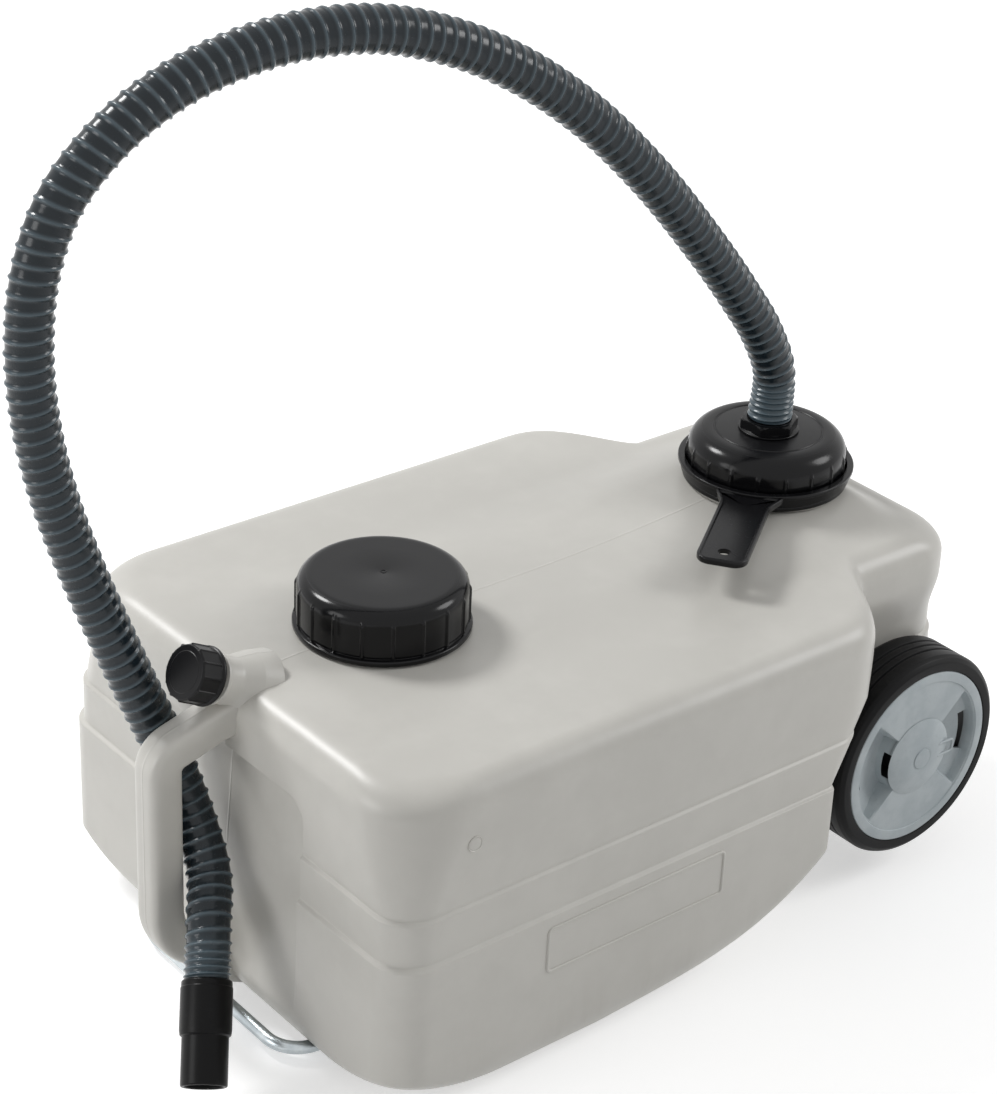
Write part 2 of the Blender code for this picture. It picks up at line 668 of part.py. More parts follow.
def make_tank():
    tank = tank_form("tank_body")
    cavity = tool(drawn_in("cavity", tank, WALL))
    recess = RECESS_HALF_WIDTH + WALL
    back = FRONT_X + RECESS_DEPTH + RECESS_LEAN + WALL
    cut(cavity, tool(box("recess_ridge", (FRONT_X, -recess, -WALL), (back, recess, RECESS_TOP_Z + WALL))))
    for side in (-1, 1):
        y = side * LEG_Y
        ridge = CHANNEL_HALF + WALL
        low = (FRONT_X, y - ridge, -WALL)
        cut(cavity, tool(box("channel_ridge", low, (CHANNEL_END_X + WALL, y + ridge, CHANNEL_TOP + WALL))))
        top = TAIL_FLOOR_Z + SCREW_LENGTH + WALL
        low = (AXLE_X - STRAP_LENGTH / 2, side * STRAP_Y - STRAP_WIDTH / 2, 0.0)
        high = (AXLE_X + STRAP_LENGTH / 2, side * STRAP_Y + STRAP_WIDTH / 2, top)
        cut(cavity, tool(box("strap_block", low, high)))
    for _, x, side in guidePlaces:
        along, across = GUIDE_LENGTH / 2 + WALL, GUIDE_WIDTH / 2 + WALL
        low = (x - along, side * LEG_Y - across, -WALL)
        high = (x + along, side * LEG_Y + across, POCKET_TOP + SCREW_LENGTH + WALL)
        cut(cavity, tool(box("guide_block", low, high)))
    ridge = AXLE_RADIUS + CHANNEL_CLEARANCE + WALL
    low = (AXLE_X - ridge, -HALF_WIDTH, 0.0)
    cut(cavity, tool(box("axle_ridge", low, (AXLE_X + ridge, HALF_WIDTH, AXLE_Z + ridge))))
    cut(tank, recess_cutter())
    join(tank, tool(handle_form()))
    for _, x, seat, edge in capPlaces:
        high = seat + neck_height(edge)
        join(tank, tool(cylinder("neck", NECK_RADIUS, (x, 0, TOP_Z - GAP), (x, 0, high), 28)))
    ventEnd = ventBase + ventAxis * VENT_NECK_END
    ventRoot = ventBase - ventAxis * VENT_ROOT
    join(tank, tool(cylinder("vent_neck", VENT_NECK_RADIUS, ventRoot, ventEnd, 20)))
    cut(tank, cavity)
    for _, x, seat, edge in capPlaces:
        bore = NECK_RADIUS - NECK_WALL
        high = seat + neck_height(edge) + WALL
        cut(tank, tool(cylinder("neck_bore", bore, (x, 0, TOP_Z - 2 * WALL), (x, 0, high), 24)))
    boreRoot = ventBase - ventAxis * VENT_BORE_ROOT
    boreEnd = ventEnd + ventAxis * WALL
    cut(tank, tool(cylinder("vent_bore", VENT_NECK_RADIUS - VENT_NECK_WALL, boreRoot, boreEnd, 16)))
    for side in (-1, 1):
        y = side * LEG_Y
        low = (FRONT_X - WALL, y - CHANNEL_HALF, -WALL)
        cut(tank, tool(box("channel", low, (CHANNEL_END_X, y + CHANNEL_HALF, CHANNEL_TOP))))
    for _, x, side in guidePlaces:
        y = side * LEG_Y
        low = (x - GUIDE_LENGTH / 2 - GAP, y - GUIDE_WIDTH / 2 - GAP, -WALL)
        high = (x + GUIDE_LENGTH / 2 + GAP, y + GUIDE_WIDTH / 2 + GAP, POCKET_TOP)
        cut(tank, tool(box("pocket", low, high)))
    slot = AXLE_RADIUS + CHANNEL_CLEARANCE
    low = (AXLE_X - slot, -HALF_WIDTH, 0.0)
    cut(tank, tool(box("axle_slot", low, (AXLE_X + slot, HALF_WIDTH, AXLE_Z + slot))))
    for _, x, y, _, foot in screwPlaces:
        cut(tank, screw_hole("pilot", x, y, foot - WALL, foot + SCREW_LENGTH + GAP))
    keep(tank, greyPlastic)


def cap_profile(edge, hole):
    """A screw cap from its top, down its outer side and up inside; hole is the radius left open on top."""
    top, skirt, land = CAP_HEIGHT, CAP_RADIUS, seal_seat(edge)
    arc = []
    for step in range(4):
        angle = math.pi / 2 * (1 - step / 3)
        arc.append((skirt - edge * (1 - math.cos(angle)), top - edge * (1 - math.sin(angle))))
    lip = skirt + FLANGE_LIP
    outer = [(hole, top)] + arc + [(skirt, FLANGE_HEIGHT), (lip, FLANGE_HEIGHT), (lip, GAP)]
    inner = [(CAP_BORE, GAP), (CAP_BORE, land), (SEAL_INNER, land)]
    return outer + inner + [(SEAL_INNER, top - CAP_TOP_WALL), (hole, top - CAP_TOP_WALL)]


def ribs(name, x, seat, edge):
    """Upright grip ribs round a cap's skirt, as one tool."""
    shape = bmesh.new()
    low, high = FLANGE_HEIGHT - GAP, CAP_HEIGHT - edge
    for index in range(RIB_COUNT):
        made = bmesh.ops.create_cube(shape, size=1.0)["verts"]
        bmesh.ops.scale(shape, vec=(2 * RIB_PROUD, RIB_WIDTH, high - low), verts=made)
        bmesh.ops.translate(shape, vec=(CAP_RADIUS, 0, (high + low) / 2), verts=made)
        bmesh.ops.rotate(shape, matrix=Matrix.Rotation(2 * math.pi * index / RIB_COUNT, 3, "Z"), verts=made)
    bmesh.ops.translate(shape, vec=(x, 0, seat), verts=shape.verts)
    return tool(bmesh_object(name, shape))


def make_caps():
    profile = cap_profile(CAP_EDGE_RADIUS, 0.0)
    filler = turned("filler_cap", profile, (FILLER_X, 0, FILLER_SEAT), steps=CAP_STEPS, closed=False)
    join(keep(filler, blackPlastic), ribs("filler_ribs", FILLER_X, FILLER_SEAT, CAP_EDGE_RADIUS))
    hole = GLAND_THREAD_RADIUS + GAP
    profile = cap_profile(HOSE_CAP_EDGE_RADIUS, hole)
    hose = turned("hose_cap", profile, (HOSE_CAP_X, 0, HOSE_SEAT), steps=CAP_STEPS)
    join(keep(hose, blackPlastic), ribs("hose_ribs", HOSE_CAP_X, HOSE_SEAT, HOSE_CAP_EDGE_RADIUS))
    for name, x, seat, edge in capPlaces:
        low = seat + neck_height(edge) + GAP
        ring = [
            (SEAL_INNER, SEAL_THICKNESS),
            (SEAL_OUTER, SEAL_THICKNESS),
            (SEAL_OUTER, 0.0),
            (SEAL_INNER, 0.0),
        ]
        keep(turned(f"{name}_cap_seal", ring, (x, 0, low), steps=CAP_STEPS), sealRubber)


def make_vent():
    """The small inclined screw cap above the handle, with its flat panels and its seal."""
    top, bore = VENT_CAP_LENGTH, VENT_NECK_RADIUS + CAP_BORE_CLEARANCE / 2
    profile = [
        (0.0, top),
        (VENT_CAP_RADIUS - VENT_EDGE, top),
        (VENT_CAP_RADIUS, top - VENT_EDGE),
        (VENT_CAP_RADIUS, 0.0),
        (bore, 0.0),
        (bore, top - VENT_CAP_TOP),
        (0.0, top - VENT_CAP_TOP),
    ]
    turn = (0.0, -(math.pi / 2 - VENT_TILT), 0.0)
    keep(turned("vent_cap", profile, ventBase, turn, VENT_PANELS, closed=False), blackPlastic)
    outer = bore * math.cos(math.pi / VENT_PANELS) - GAP
    inner = outer - VENT_SEAL_WIDTH
    ring = [(inner, VENT_SEAL), (outer, VENT_SEAL), (outer, 0.0), (inner, 0.0)]
    place = ventBase + ventAxis * (VENT_NECK_END + GAP)
    keep(turned("vent_cap_seal", ring, place, turn, VENT_PANELS), sealRubber)


CAP_INNER_TOP = HOSE_SEAT + CAP_HEIGHT - CAP_TOP_WALL
NUT_BASE = HOSE_SEAT + CAP_HEIGHT + GAP
HOSE_START_Z = NUT_BASE + NUT_HEIGHT + GAP


def hexagon(name, across, height, bore, place):
    nut = cylinder(name, across / 2, place, (place[0], place[1], place[2] + height), 6)
    below = (place[0], place[1], place[2] - WALL)
    above = (place[0], place[1], place[2] + height + WALL)
    return cut(nut, tool(cylinder("nut_bore", bore, below, above, 24)))


def make_gland():
    """The connector that leads the hose through its cap: nut above, washer, flange and lock nut below."""
    x = HOSE_CAP_X
    nutBore = GLAND_THREAD_RADIUS + GAP
    keep(hexagon("gland_nut", NUT_ACROSS_CORNERS, NUT_HEIGHT, nutBore, (x, 0, NUT_BASE)), blackPlastic)
    washerTop = CAP_INNER_TOP - GAP
    washerLow = washerTop - GLAND_WASHER_THICKNESS
    ring = [
        (nutBore, washerTop),
        (GLAND_FLANGE_RADIUS, washerTop),
        (GLAND_FLANGE_RADIUS, washerLow),
        (nutBore, washerLow),
    ]
    keep(turned("gland_washer", ring, (x, 0, 0), steps=20), sealRubber)
    lockTop = washerLow - GAP
    lockLow = lockTop - LOCKNUT_HEIGHT
    lockNut = hexagon("gland_locknut", 2 * GLAND_FLANGE_RADIUS, LOCKNUT_HEIGHT, nutBore, (x, 0, lockLow))
    keep(lockNut, blackPlastic)
    bodyTop = NUT_BASE + NUT_HEIGHT
    flangeTop = lockLow - GAP
    flangeLow = flangeTop - GLAND_FLANGE_THICKNESS
    tailLow = flangeLow - GLAND_TAIL
    profile = [
        (GLAND_BORE, bodyTop),
        (GLAND_THREAD_RADIUS, bodyTop),
        (GLAND_THREAD_RADIUS, flangeTop),
        (GLAND_FLANGE_RADIUS, flangeTop),
        (GLAND_FLANGE_RADIUS, flangeLow),
        (GLAND_THREAD_RADIUS, flangeLow),
        (GLAND_THREAD_RADIUS, tailLow),
        (GLAND_BORE, tailLow),
    ]
    keep(turned("gland_body", profile, (x, 0, 0), steps=20), blackPlastic)


def make_wrench():
    """The open ring that grips the hose cap's ribs, with its flat paddle."""
    bore = CAP_RADIUS + RIB_PROUD + GAP
    outer = bore + WRENCH_WALL
    lip = outer + WRENCH_LIP
    low = FLANGE_HEIGHT + GAP
    high = low + WRENCH_HEIGHT
    ring = [
        (bore, high),
        (lip, high),
        (lip, high - WRENCH_LIP_HEIGHT),
        (outer, high - WRENCH_LIP_HEIGHT - WRENCH_LIP_SLOPE),
        (outer, low),
        (bore, low),
    ]
    wrench = turned("cap_wrench", ring, (HOSE_CAP_X, 0, HOSE_SEAT), steps=36)
    shape = bmesh.new()
    half = WRENCH_WIDTH / 2
    root = bore + WRENCH_WALL / 2
    neck = lip + WRENCH_NECK
    near = [(root, -half - WRENCH_FLARE), (neck, -half), (WRENCH_REACH, -half)]
    corners = near + [(x, -y) for x, y in reversed(near)]
    outline = rounded(corners, (0, WRENCH_CORNER, WRENCH_CORNER, 0), 3)
    top = high - WRENCH_SINK
    lower = [shape.verts.new((x, y, top - WRENCH_THICKNESS)) for x, y in outline]
    face = shape.faces.new(lower)
    raised = bmesh.ops.extrude_face_region(shape, geom=[face])["geom"]
    upper = [v for v in raised if isinstance(v, bmesh.types.BMVert)]
    bmesh.ops.translate(shape, vec=(0, 0, WRENCH_THICKNESS), verts=upper)
    bmesh.ops.recalc_face_normals(shape, faces=shape.faces)
    place = Matrix.Translation((HOSE_CAP_X, 0, HOSE_SEAT)) @ Matrix.Rotation(WRENCH_ANGLE, 4, "Z")
    bmesh.ops.transform(shape, matrix=place, verts=shape.verts)
    join(wrench, tool(bmesh_object("paddle", shape)))
    centre = place @ Vector((WRENCH_REACH - WRENCH_HOLE_FROM_END, 0, 0))
    base = centre.z
    above = base + high + WALL
    hole = cylinder("paddle_hole", WRENCH_HOLE, (centre.x, centre.y, base), (centre.x, centre.y, above), 12)
    keep(cut(wrench, tool(hole)), blackPlastic)


# The hose's middle line, from the gland up over the tank, down in front, through the grip, to its nozzle.
hoseRoute = [
    (HOSE_CAP_X, 0.0, HOSE_START_Z),
    (HOSE_CAP_X, 0.0, HOSE_START_Z + 0.032),
    (0.1879, 0.000, 0.3339),
    (0.1632, 0.000, 0.3681),
    (0.1240, 0.000, 0.4157),
    (0.0749, 0.001, 0.4695),
    (0.0306, 0.005, 0.5108),
    (-0.0177, 0.010, 0.5450),
    (-0.0632, 0.015, 0.5674),
    (-0.1070, 0.020, 0.5803),
    (-0.1509, 0.025, 0.5834),
    (-0.1940, 0.030, 0.5780),
    (-0.2359, 0.035, 0.5637),
    (-0.2700, 0.039, 0.5415),
    (-0.2960, 0.042, 0.5125),
    (-0.3102, 0.044, 0.4769),
    (-0.3153, 0.045, 0.4368),
    (-0.3132, 0.045, 0.3910),
    (-0.3034, 0.045, 0.3420),
    (-0.2896, 0.043, 0.2951),
    (-0.2749, 0.040, 0.2522),
    (-0.2605, 0.036, 0.2120),
    (-0.2480, 0.030, 0.1760),
    (-0.2418, 0.0180, 0.1465),
    (-0.2405, 0.0040, 0.1235),
    (-0.2440, -0.0125, 0.1060),
]
nozzleTop = Vector((-0.2740, -0.0556, 0.0654))
nozzleTip = Vector((-0.3000, -0.0906, 0.0229))
nozzleAxis = (nozzleTip - nozzleTop).normalized()
hoseRoute += [tuple(nozzleTop - nozzleAxis * NOZZLE_STRAIGHT), tuple(nozzleTop)]
SPAN_STEPS = 16
BORE_STEPS = 36


def smooth_line(route, spacing):
    """A smooth curve through the route's points, read at the places that spacing gives for its length."""
    points = [Vector(p) for p in route]
    spans = [(b - a).length for a, b in zip(points, points[1:])]
    runs = [(b - a) / span for a, b, span in zip(points, points[1:], spans)]
    tangents = [runs[0]]
    for before, after, left, right in zip(runs, runs[1:], spans, spans[1:]):
        tangents.append((before * right + after * left) / (left + right))
    tangents.append(runs[-1])
    line = []
    for i, span in enumerate(spans):
        for step in range(SPAN_STEPS):
            t = step / SPAN_STEPS
            line.append(
                points[i] * (2 * t**3 - 3 * t**2 + 1)
                + tangents[i] * (span * (t**3 - 2 * t**2 + t))
                + points[i + 1] * (3 * t**2 - 2 * t**3)
                + tangents[i + 1] * (span * (t**3 - t**2))
            )
    line.append(points[-1])
    along = [0.0]
    for a, b in zip(line, line[1:]):
        along.append(along[-1] + (b - a).length)
    read, index = [], 0
    for place in spacing(along[-1]):
        while index < len(along) - 2 and along[index + 1] < place:
            index += 1
        share = (place - along[index]) / (along[index + 1] - along[index])
        read.append(line[index].lerp(line[index + 1], share))
    return read, along[-1]


def rib_places(length):
    """Places of the ribs' crests and of the valleys between them, closer together at both ends."""
    places, at = [0.0], 0.0
    while at < length - END_RIB_PITCH / 2:
        near = min(at, length - at)
        pitch = END_RIB_PITCH if near < END_RIB_LENGTH else RIB_PITCH
        places += [at + 0.5 * pitch, at + pitch]
        at += pitch
    scale = length / places[-1]
    return [place * scale for place in places]


def even_places(length):
    return [length * step / BORE_STEPS for step in range(BORE_STEPS + 1)]


def make_hose():
    points, length = smooth_line(hoseRoute, rib_places)
    radii = [HOSE_VALLEY if index % 2 == 0 else HOSE_RADIUS for index in range(len(points))]
    hose = tube("drain_hose", points, radii, 2)
    inside, _ = smooth_line(hoseRoute, even_places)
    before = inside[0] - Vector((0, 0, WALL))
    after = inside[-1] + nozzleAxis * WALL
    line = [before] + inside + [after]
    bore = tool(tube("hose_bore", line, [HOSE_BORE] * len(line), 1))
    keep(cut(hose, bore), hosePlastic)
    print("hose length", round(length, 4), "ribs", len(points) // 2)


def make_nozzle():
    """The stepped rubber cuff on the hose's free end, turned about the hose's own line."""
    length = CUFF_LENGTH + TIP_LENGTH
    profile = [
        (NOZZLE_BORE, 0.0),
        (CUFF_RADIUS - RUBBER_EDGE, 0.0),
        (CUFF_RADIUS, -RUBBER_EDGE),
        (CUFF_RADIUS, -CUFF_LENGTH),
        (TIP_RADIUS, -CUFF_LENGTH - RUBBER_EDGE),
        (TIP_RADIUS, -length + RUBBER_EDGE),
        (TIP_RADIUS - RUBBER_EDGE, -length),
        (NOZZLE_BORE, -length),
    ]
    turn = (-nozzleAxis).to_track_quat("Z", "Y").to_euler()
    keep(turned("hose_nozzle", profile, nozzleTop + nozzleAxis * GAP, turn, 20), blackRubber)


WHEEL_STEPS = 24
WHEEL_INNER_Y = TAIL_HALF_WIDTH + WHEEL_SIDE_GAP
WHEEL_OUTER_Y = WHEEL_INNER_Y + TYRE_WIDTH
HUB_BORE = AXLE_RADIUS + HUB_BORE_CLEARANCE
AXLE_END_Y = WHEEL_OUTER_Y - HUB_SINK


def ring_profile_tyre():
    """Tyre section about its own middle: a bead, two side walls and a tread with round grooves."""
    half = TYRE_WIDTH / 2
    inner = RIM_WELL + GAP
    crown = [(TYRE_RADIUS - TYRE_SIDE_DROP, half), (TYRE_RADIUS - TYRE_CROWN_DROP, half - TYRE_CROWN_SIDE)]
    lands = TREAD_GROOVES + 1
    flat = half - TREAD_EDGE
    tread = []
    for land in range(lands):
        a = flat - 2 * flat * land / lands
        b = flat - 2 * flat * (land + 1) / lands
        tread.append((TYRE_RADIUS, a if land == 0 else a - TREAD_GROOVE_HALF_WIDTH))
        tread.append((TYRE_RADIUS, b if land == lands - 1 else b + TREAD_GROOVE_HALF_WIDTH))
        if land < lands - 1:
            tread.append((TYRE_RADIUS - TREAD_GROOVE_DEPTH, b))
    outside = crown + tread + [(r, -h) for r, h in reversed(crown)]
    seat = half - RIM_LIP - GAP
    lip = RIM_RADIUS + GAP
    return outside + [(lip, -half), (lip, -seat), (inner, -seat), (inner, seat), (lip, seat), (lip, half)]


def ring_profile_rim():
    """Rim section: hub tube, the pockets' floor and a barrel with two lips that hold the tyre."""
    half = TYRE_WIDTH / 2
    inside = RIM_WELL - RIM_BARREL
    floor = half - POCKET_DEPTH
    return [
        (HUB_BORE, half - HUB_SINK),
        (HUB_RADIUS, half - HUB_SINK),
        (HUB_RADIUS, floor),
        (inside, floor),
        (inside, half),
        (RIM_RADIUS, half),
        (RIM_RADIUS, half - RIM_LIP),
        (RIM_WELL, half - RIM_LIP),
        (RIM_WELL, -half + RIM_LIP),
        (RIM_RADIUS, -half + RIM_LIP),
        (RIM_RADIUS, -half),
        (inside, -half),
        (inside, floor - WEB_THICKNESS),
        (HUB_RADIUS, floor - WEB_THICKNESS),
        (HUB_RADIUS, -half),
        (HUB_BORE, -half),
    ]


def sector(name, side, middle, spread, radii, depths):
    """A slice of a ring on the wheel's axis: arc in degrees, radii, and depths behind the outer side."""
    inner, outer = radii
    outline = []
    for radius, steps in ((inner, range(5)), (outer, range(4, -1, -1))):
        for step in steps:
            angle = math.radians(middle + spread * (step / 4 - 0.5))
            outline.append((radius * math.cos(angle), radius * math.sin(angle)))
    near, far = (side * (WHEEL_OUTER_Y - depth) for depth in depths)
    shape = bmesh.new()
    face = shape.faces.new([shape.verts.new((AXLE_X + x, near, AXLE_Z + z)) for x, z in outline])
    raised = bmesh.ops.extrude_face_region(shape, geom=[face])["geom"]
    moved = [v for v in raised if isinstance(v, bmesh.types.BMVert)]
    bmesh.ops.translate(shape, vec=(0, far - near, 0), verts=moved)
    bmesh.ops.recalc_face_normals(shape, faces=shape.faces)
    return tool(bmesh_object(name, shape))


def make_wheel(hand, side):
    middle = side * (WHEEL_INNER_Y + TYRE_WIDTH / 2)
    turn = (math.radians(90.0 * -side), 0.0, 0.0)
    place = (AXLE_X, middle, AXLE_Z)
    keep(turned(f"tyre_{hand}", ring_profile_tyre(), place, turn, WHEEL_STEPS), blackRubber)
    rim = keep(turned(f"wheel_rim_{hand}", ring_profile_rim(), place, turn, WHEEL_STEPS), rimPlastic)
    seat = HUB_RADIUS + GAP + HUB_CAP_SKIRT + GAP
    for start in (0.0, 180.0):
        radii = (seat, RIM_WELL - RIM_BARREL / 2)
        depths = (FACE_SINK, POCKET_DEPTH + WEB_THICKNESS / 2)
        join(rim, sector("web_block", side, start + 90.0, 180.0 - POCKET_SPREAD, radii, depths))
        depths = (POCKET_DEPTH - WALL, POCKET_DEPTH + WEB_THICKNESS + WALL)
        cut(rim, sector("web_slot", side, start, SLOT_SPREAD, (SLOT_INNER, SLOT_OUTER), depths))
    spacerIn = TAIL_HALF_WIDTH + GAP
    ring = [
        (HUB_BORE, WHEEL_INNER_Y - GAP - spacerIn),
        (SPACER_RADIUS, WHEEL_INNER_Y - GAP - spacerIn),
        (SPACER_RADIUS, 0.0),
        (HUB_BORE, 0.0),
    ]
    keep(turned(f"axle_spacer_{hand}", ring, (AXLE_X, side * spacerIn, AXLE_Z), turn, 16), blackPlastic)
    hubEnd = WHEEL_OUTER_Y - HUB_SINK + GAP
    ring = [
        (HUB_BORE, LOCK_THICKNESS),
        (LOCK_RADIUS, LOCK_THICKNESS),
        (LOCK_RADIUS, 0.0),
        (HUB_BORE, 0.0),
    ]
    keep(turned(f"lock_washer_{hand}", ring, (AXLE_X, side * hubEnd, AXLE_Z), turn, 16), zincSteel)
    make_hub_cap(hand, side, turn)


def make_hub_cap(hand, side, turn):
    """The domed cap on the wheel's face, with a skirt pushed over the hub; it hides the axle's end."""
    bore = HUB_RADIUS + GAP
    high = HUB_CAP_HEIGHT
    dome = [(HUB_CAP_RADIUS * share, (high - HUB_CAP_STEP) * (1 - share**3)) for share in (0.45, 0.72, 0.92)]
    hold = -HUB_SINK - HUB_CAP_HOLD
    disc = [(0.0, high), (HUB_CAP_DISC, high), (HUB_CAP_DISC, high - HUB_CAP_STEP)]
    skirt = [(bore + HUB_CAP_SKIRT, GAP), (bore + HUB_CAP_SKIRT, hold), (bore, hold), (bore, GAP), (0.0, GAP)]
    profile = disc + dome + [(HUB_CAP_RADIUS, GAP)] + skirt
    place = (AXLE_X, side * (WHEEL_OUTER_Y - FACE_SINK), AXLE_Z)
    keep(turned(f"hub_cap_{hand}", profile, place, turn, 18, closed=False), rimPlastic)


def make_axle():
    end = AXLE_END_Y + LOCK_THICKNESS + GAP
    axle = cylinder("axle", AXLE_RADIUS, (AXLE_X, -end, AXLE_Z), (AXLE_X, end, AXLE_Z), 24)
    keep(chamfer(axle, AXLE_CHAMFER), zincSteel)
    for side, hand in ((-1, "right"), (1, "left")):
        y = side * STRAP_Y
        low = (AXLE_X - STRAP_LENGTH / 2, y - STRAP_WIDTH / 2, STRAP_TOP - STRAP_THICKNESS)
        high = (AXLE_X + STRAP_LENGTH / 2, y + STRAP_WIDTH / 2, STRAP_TOP)
        strap = box(f"axle_strap_{hand}", low, high)
        for offset in (-1, 1):
            x = AXLE_X + offset * STRAP_SCREW_OFFSET
            cut(strap, screw_hole("strap_hole", x, y, low[2] - WALL, high[2] + WALL))
        keep(strap, zincSteel)


def make_guides():
    for name, x, side in guidePlaces:
        hand = "right" if side < 0 else "left"
        y = side * LEG_Y
        low = (x - GUIDE_LENGTH / 2, y - GUIDE_WIDTH / 2, GUIDE_TOP - GUIDE_THICKNESS)
        high = (x + GUIDE_LENGTH / 2, y + GUIDE_WIDTH / 2, GUIDE_TOP)
        guide = box(f"{name}_guide_{hand}", low, high)
        for offset in (-1, 1):
            across = side * (LEG_Y + offset * GUIDE_SCREW_OFFSET)
            cut(guide, screw_hole("guide_hole", x, across, low[2] - WALL, high[2] + WALL))
        keep(guide, zincSteel)


def make_screws():
    """Pan-head screws driven upwards from below, each into its boss."""
    for name, x, y, under, foot in screwPlaces:
        headTop = under - GAP
        tip = foot + SCREW_LENGTH - headTop
        profile = [
            (0.0, tip),
            (SCREW_RADIUS, tip - SCREW_RADIUS),
            (SCREW_RADIUS, 0.0),
            (SCREW_HEAD_RADIUS, 0.0),
            (SCREW_HEAD_RADIUS * 0.8, -SCREW_HEAD_HEIGHT),
            (0.0, -SCREW_HEAD_HEIGHT),
        ]
        keep(turned(name, profile, (x, y, headTop), steps=8, closed=False), zincSteel)


def make_tow_handle():
    near = [(LEG_END_X, -LEG_Y), (CROSSBAR_X, -LEG_Y)]
    corners = near + [(x, -y) for x, y in reversed(near)]
    points = [(x, y, ROD_Z) for x, y in rounded(corners, (ROD_BEND, ROD_BEND), 6)]
    keep(tube("tow_handle", points, [ROD_RADIUS] * len(points), 3), zincSteel)
    collarX = GUIDE_REAR_X - GUIDE_LENGTH / 2 - 2 * COLLAR_LENGTH
    for side, hand in ((-1, "right"), (1, "left")):
        ring = [
            (ROD_RADIUS + GAP, COLLAR_LENGTH),
            (COLLAR_RADIUS, COLLAR_LENGTH),
            (COLLAR_RADIUS, 0.0),
            (ROD_RADIUS + GAP, 0.0),
        ]
        place = (collarX, side * LEG_Y, ROD_Z)
        keep(turned(f"tow_handle_collar_{hand}", ring, place, (0.0, math.pi / 2, 0.0), 16), zincSteel)
    travel = collarX - (GUIDE_FRONT_X + GUIDE_LENGTH / 2)
    print("tow handle travel", round(travel - GAP, 4))


make_tank()
make_caps()
make_vent()
make_gland()
make_wrench()
make_hose()
make_nozzle()
make_axle()
for hand, side in (("right", -1), ("left", 1)):
    make_wheel(hand, side)
make_guides()
make_screws()
make_tow_handle()

for piece in partsGroup.objects:
    piece.data.shade_smooth()
    piece.data.set_sharp_from_angle(angle=math.radians(35.0))
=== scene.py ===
import json
import math

import bmesh
import bpy
import numpy as np
from mathutils import Matrix, Vector

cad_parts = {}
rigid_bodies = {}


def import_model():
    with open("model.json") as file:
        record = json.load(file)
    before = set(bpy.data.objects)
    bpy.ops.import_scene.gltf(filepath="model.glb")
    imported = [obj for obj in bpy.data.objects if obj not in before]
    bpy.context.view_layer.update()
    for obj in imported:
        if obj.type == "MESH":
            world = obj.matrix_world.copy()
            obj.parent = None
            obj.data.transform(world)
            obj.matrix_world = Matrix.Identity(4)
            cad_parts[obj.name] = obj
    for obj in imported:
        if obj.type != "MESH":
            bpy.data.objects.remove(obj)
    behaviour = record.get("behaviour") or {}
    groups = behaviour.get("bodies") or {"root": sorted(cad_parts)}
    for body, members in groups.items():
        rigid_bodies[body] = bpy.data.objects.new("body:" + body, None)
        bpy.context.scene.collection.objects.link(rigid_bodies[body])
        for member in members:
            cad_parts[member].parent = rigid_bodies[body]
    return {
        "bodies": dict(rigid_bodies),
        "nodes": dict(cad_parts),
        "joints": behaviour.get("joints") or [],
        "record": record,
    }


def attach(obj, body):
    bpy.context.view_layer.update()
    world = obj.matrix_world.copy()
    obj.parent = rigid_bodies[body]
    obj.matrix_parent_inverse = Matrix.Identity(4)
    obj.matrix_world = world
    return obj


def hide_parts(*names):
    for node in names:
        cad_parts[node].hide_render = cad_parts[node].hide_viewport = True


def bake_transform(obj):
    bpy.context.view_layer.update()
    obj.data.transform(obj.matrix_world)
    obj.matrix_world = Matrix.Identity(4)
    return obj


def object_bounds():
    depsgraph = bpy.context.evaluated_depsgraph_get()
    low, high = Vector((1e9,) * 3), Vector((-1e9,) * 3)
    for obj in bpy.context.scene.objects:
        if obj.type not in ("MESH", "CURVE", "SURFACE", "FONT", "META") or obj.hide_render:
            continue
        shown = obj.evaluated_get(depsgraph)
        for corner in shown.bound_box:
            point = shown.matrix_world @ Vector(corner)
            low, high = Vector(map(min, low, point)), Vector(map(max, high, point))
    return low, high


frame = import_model()
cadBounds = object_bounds()
print("stage: frame loaded")


def ramp(low, high, values):  # 0 up to low, 1 from high, straight in between
    return np.clip((values - low) / (high - low), 0.0, 1.0)


def ease(low, high, values):  # the same with level ends
    share = ramp(low, high, values)
    return share * share * (3.0 - 2.0 * share)


def between(start, end, share):
    return start + (end - start) * share


def unit(vectors):
    return vectors / np.linalg.norm(vectors, axis=-1, keepdims=True)


def fromWhole(values):  # how far each value is from the nearest whole number
    return values - np.round(values)


def joined(*parts, axis=0):
    return np.concatenate(parts, axis)


def columns(*values):
    return np.stack(values, -1)


def inBands(bands, axis=0):  # each band's values brought to one length, then all bands joined
    return [joined(*rows, axis=axis) for rows in zip(*(np.broadcast_arrays(*band) for band in bands))]


def angles(count):  # evenly round a circle
    return np.arange(count) * (2 * math.pi / count)


def arcLengths(line):  # how far along the line each of its points stands
    return joined([0.0], np.cumsum(np.linalg.norm(np.diff(line, axis=0), axis=1)))


def readLine(places, along, line):  # the line's points at the given lengths along it
    return columns(*(np.interp(places, along, axis) for axis in line.T))


# The camera stands where the photograph was taken from.
cameraView = {
    "place": (-0.9873, -1.1451, 1.0524),
    "azimuth": -39.5,
    "elevation": 28.3,
    "roll": 2.3,
    "focalPixels": 2800.0,
    "imageSize": (997.0, 1094.0),
    "principalPoint": (473.1, 545.4),
    "sensor": 36.0,
    "clip": (0.01, 60.0),
}


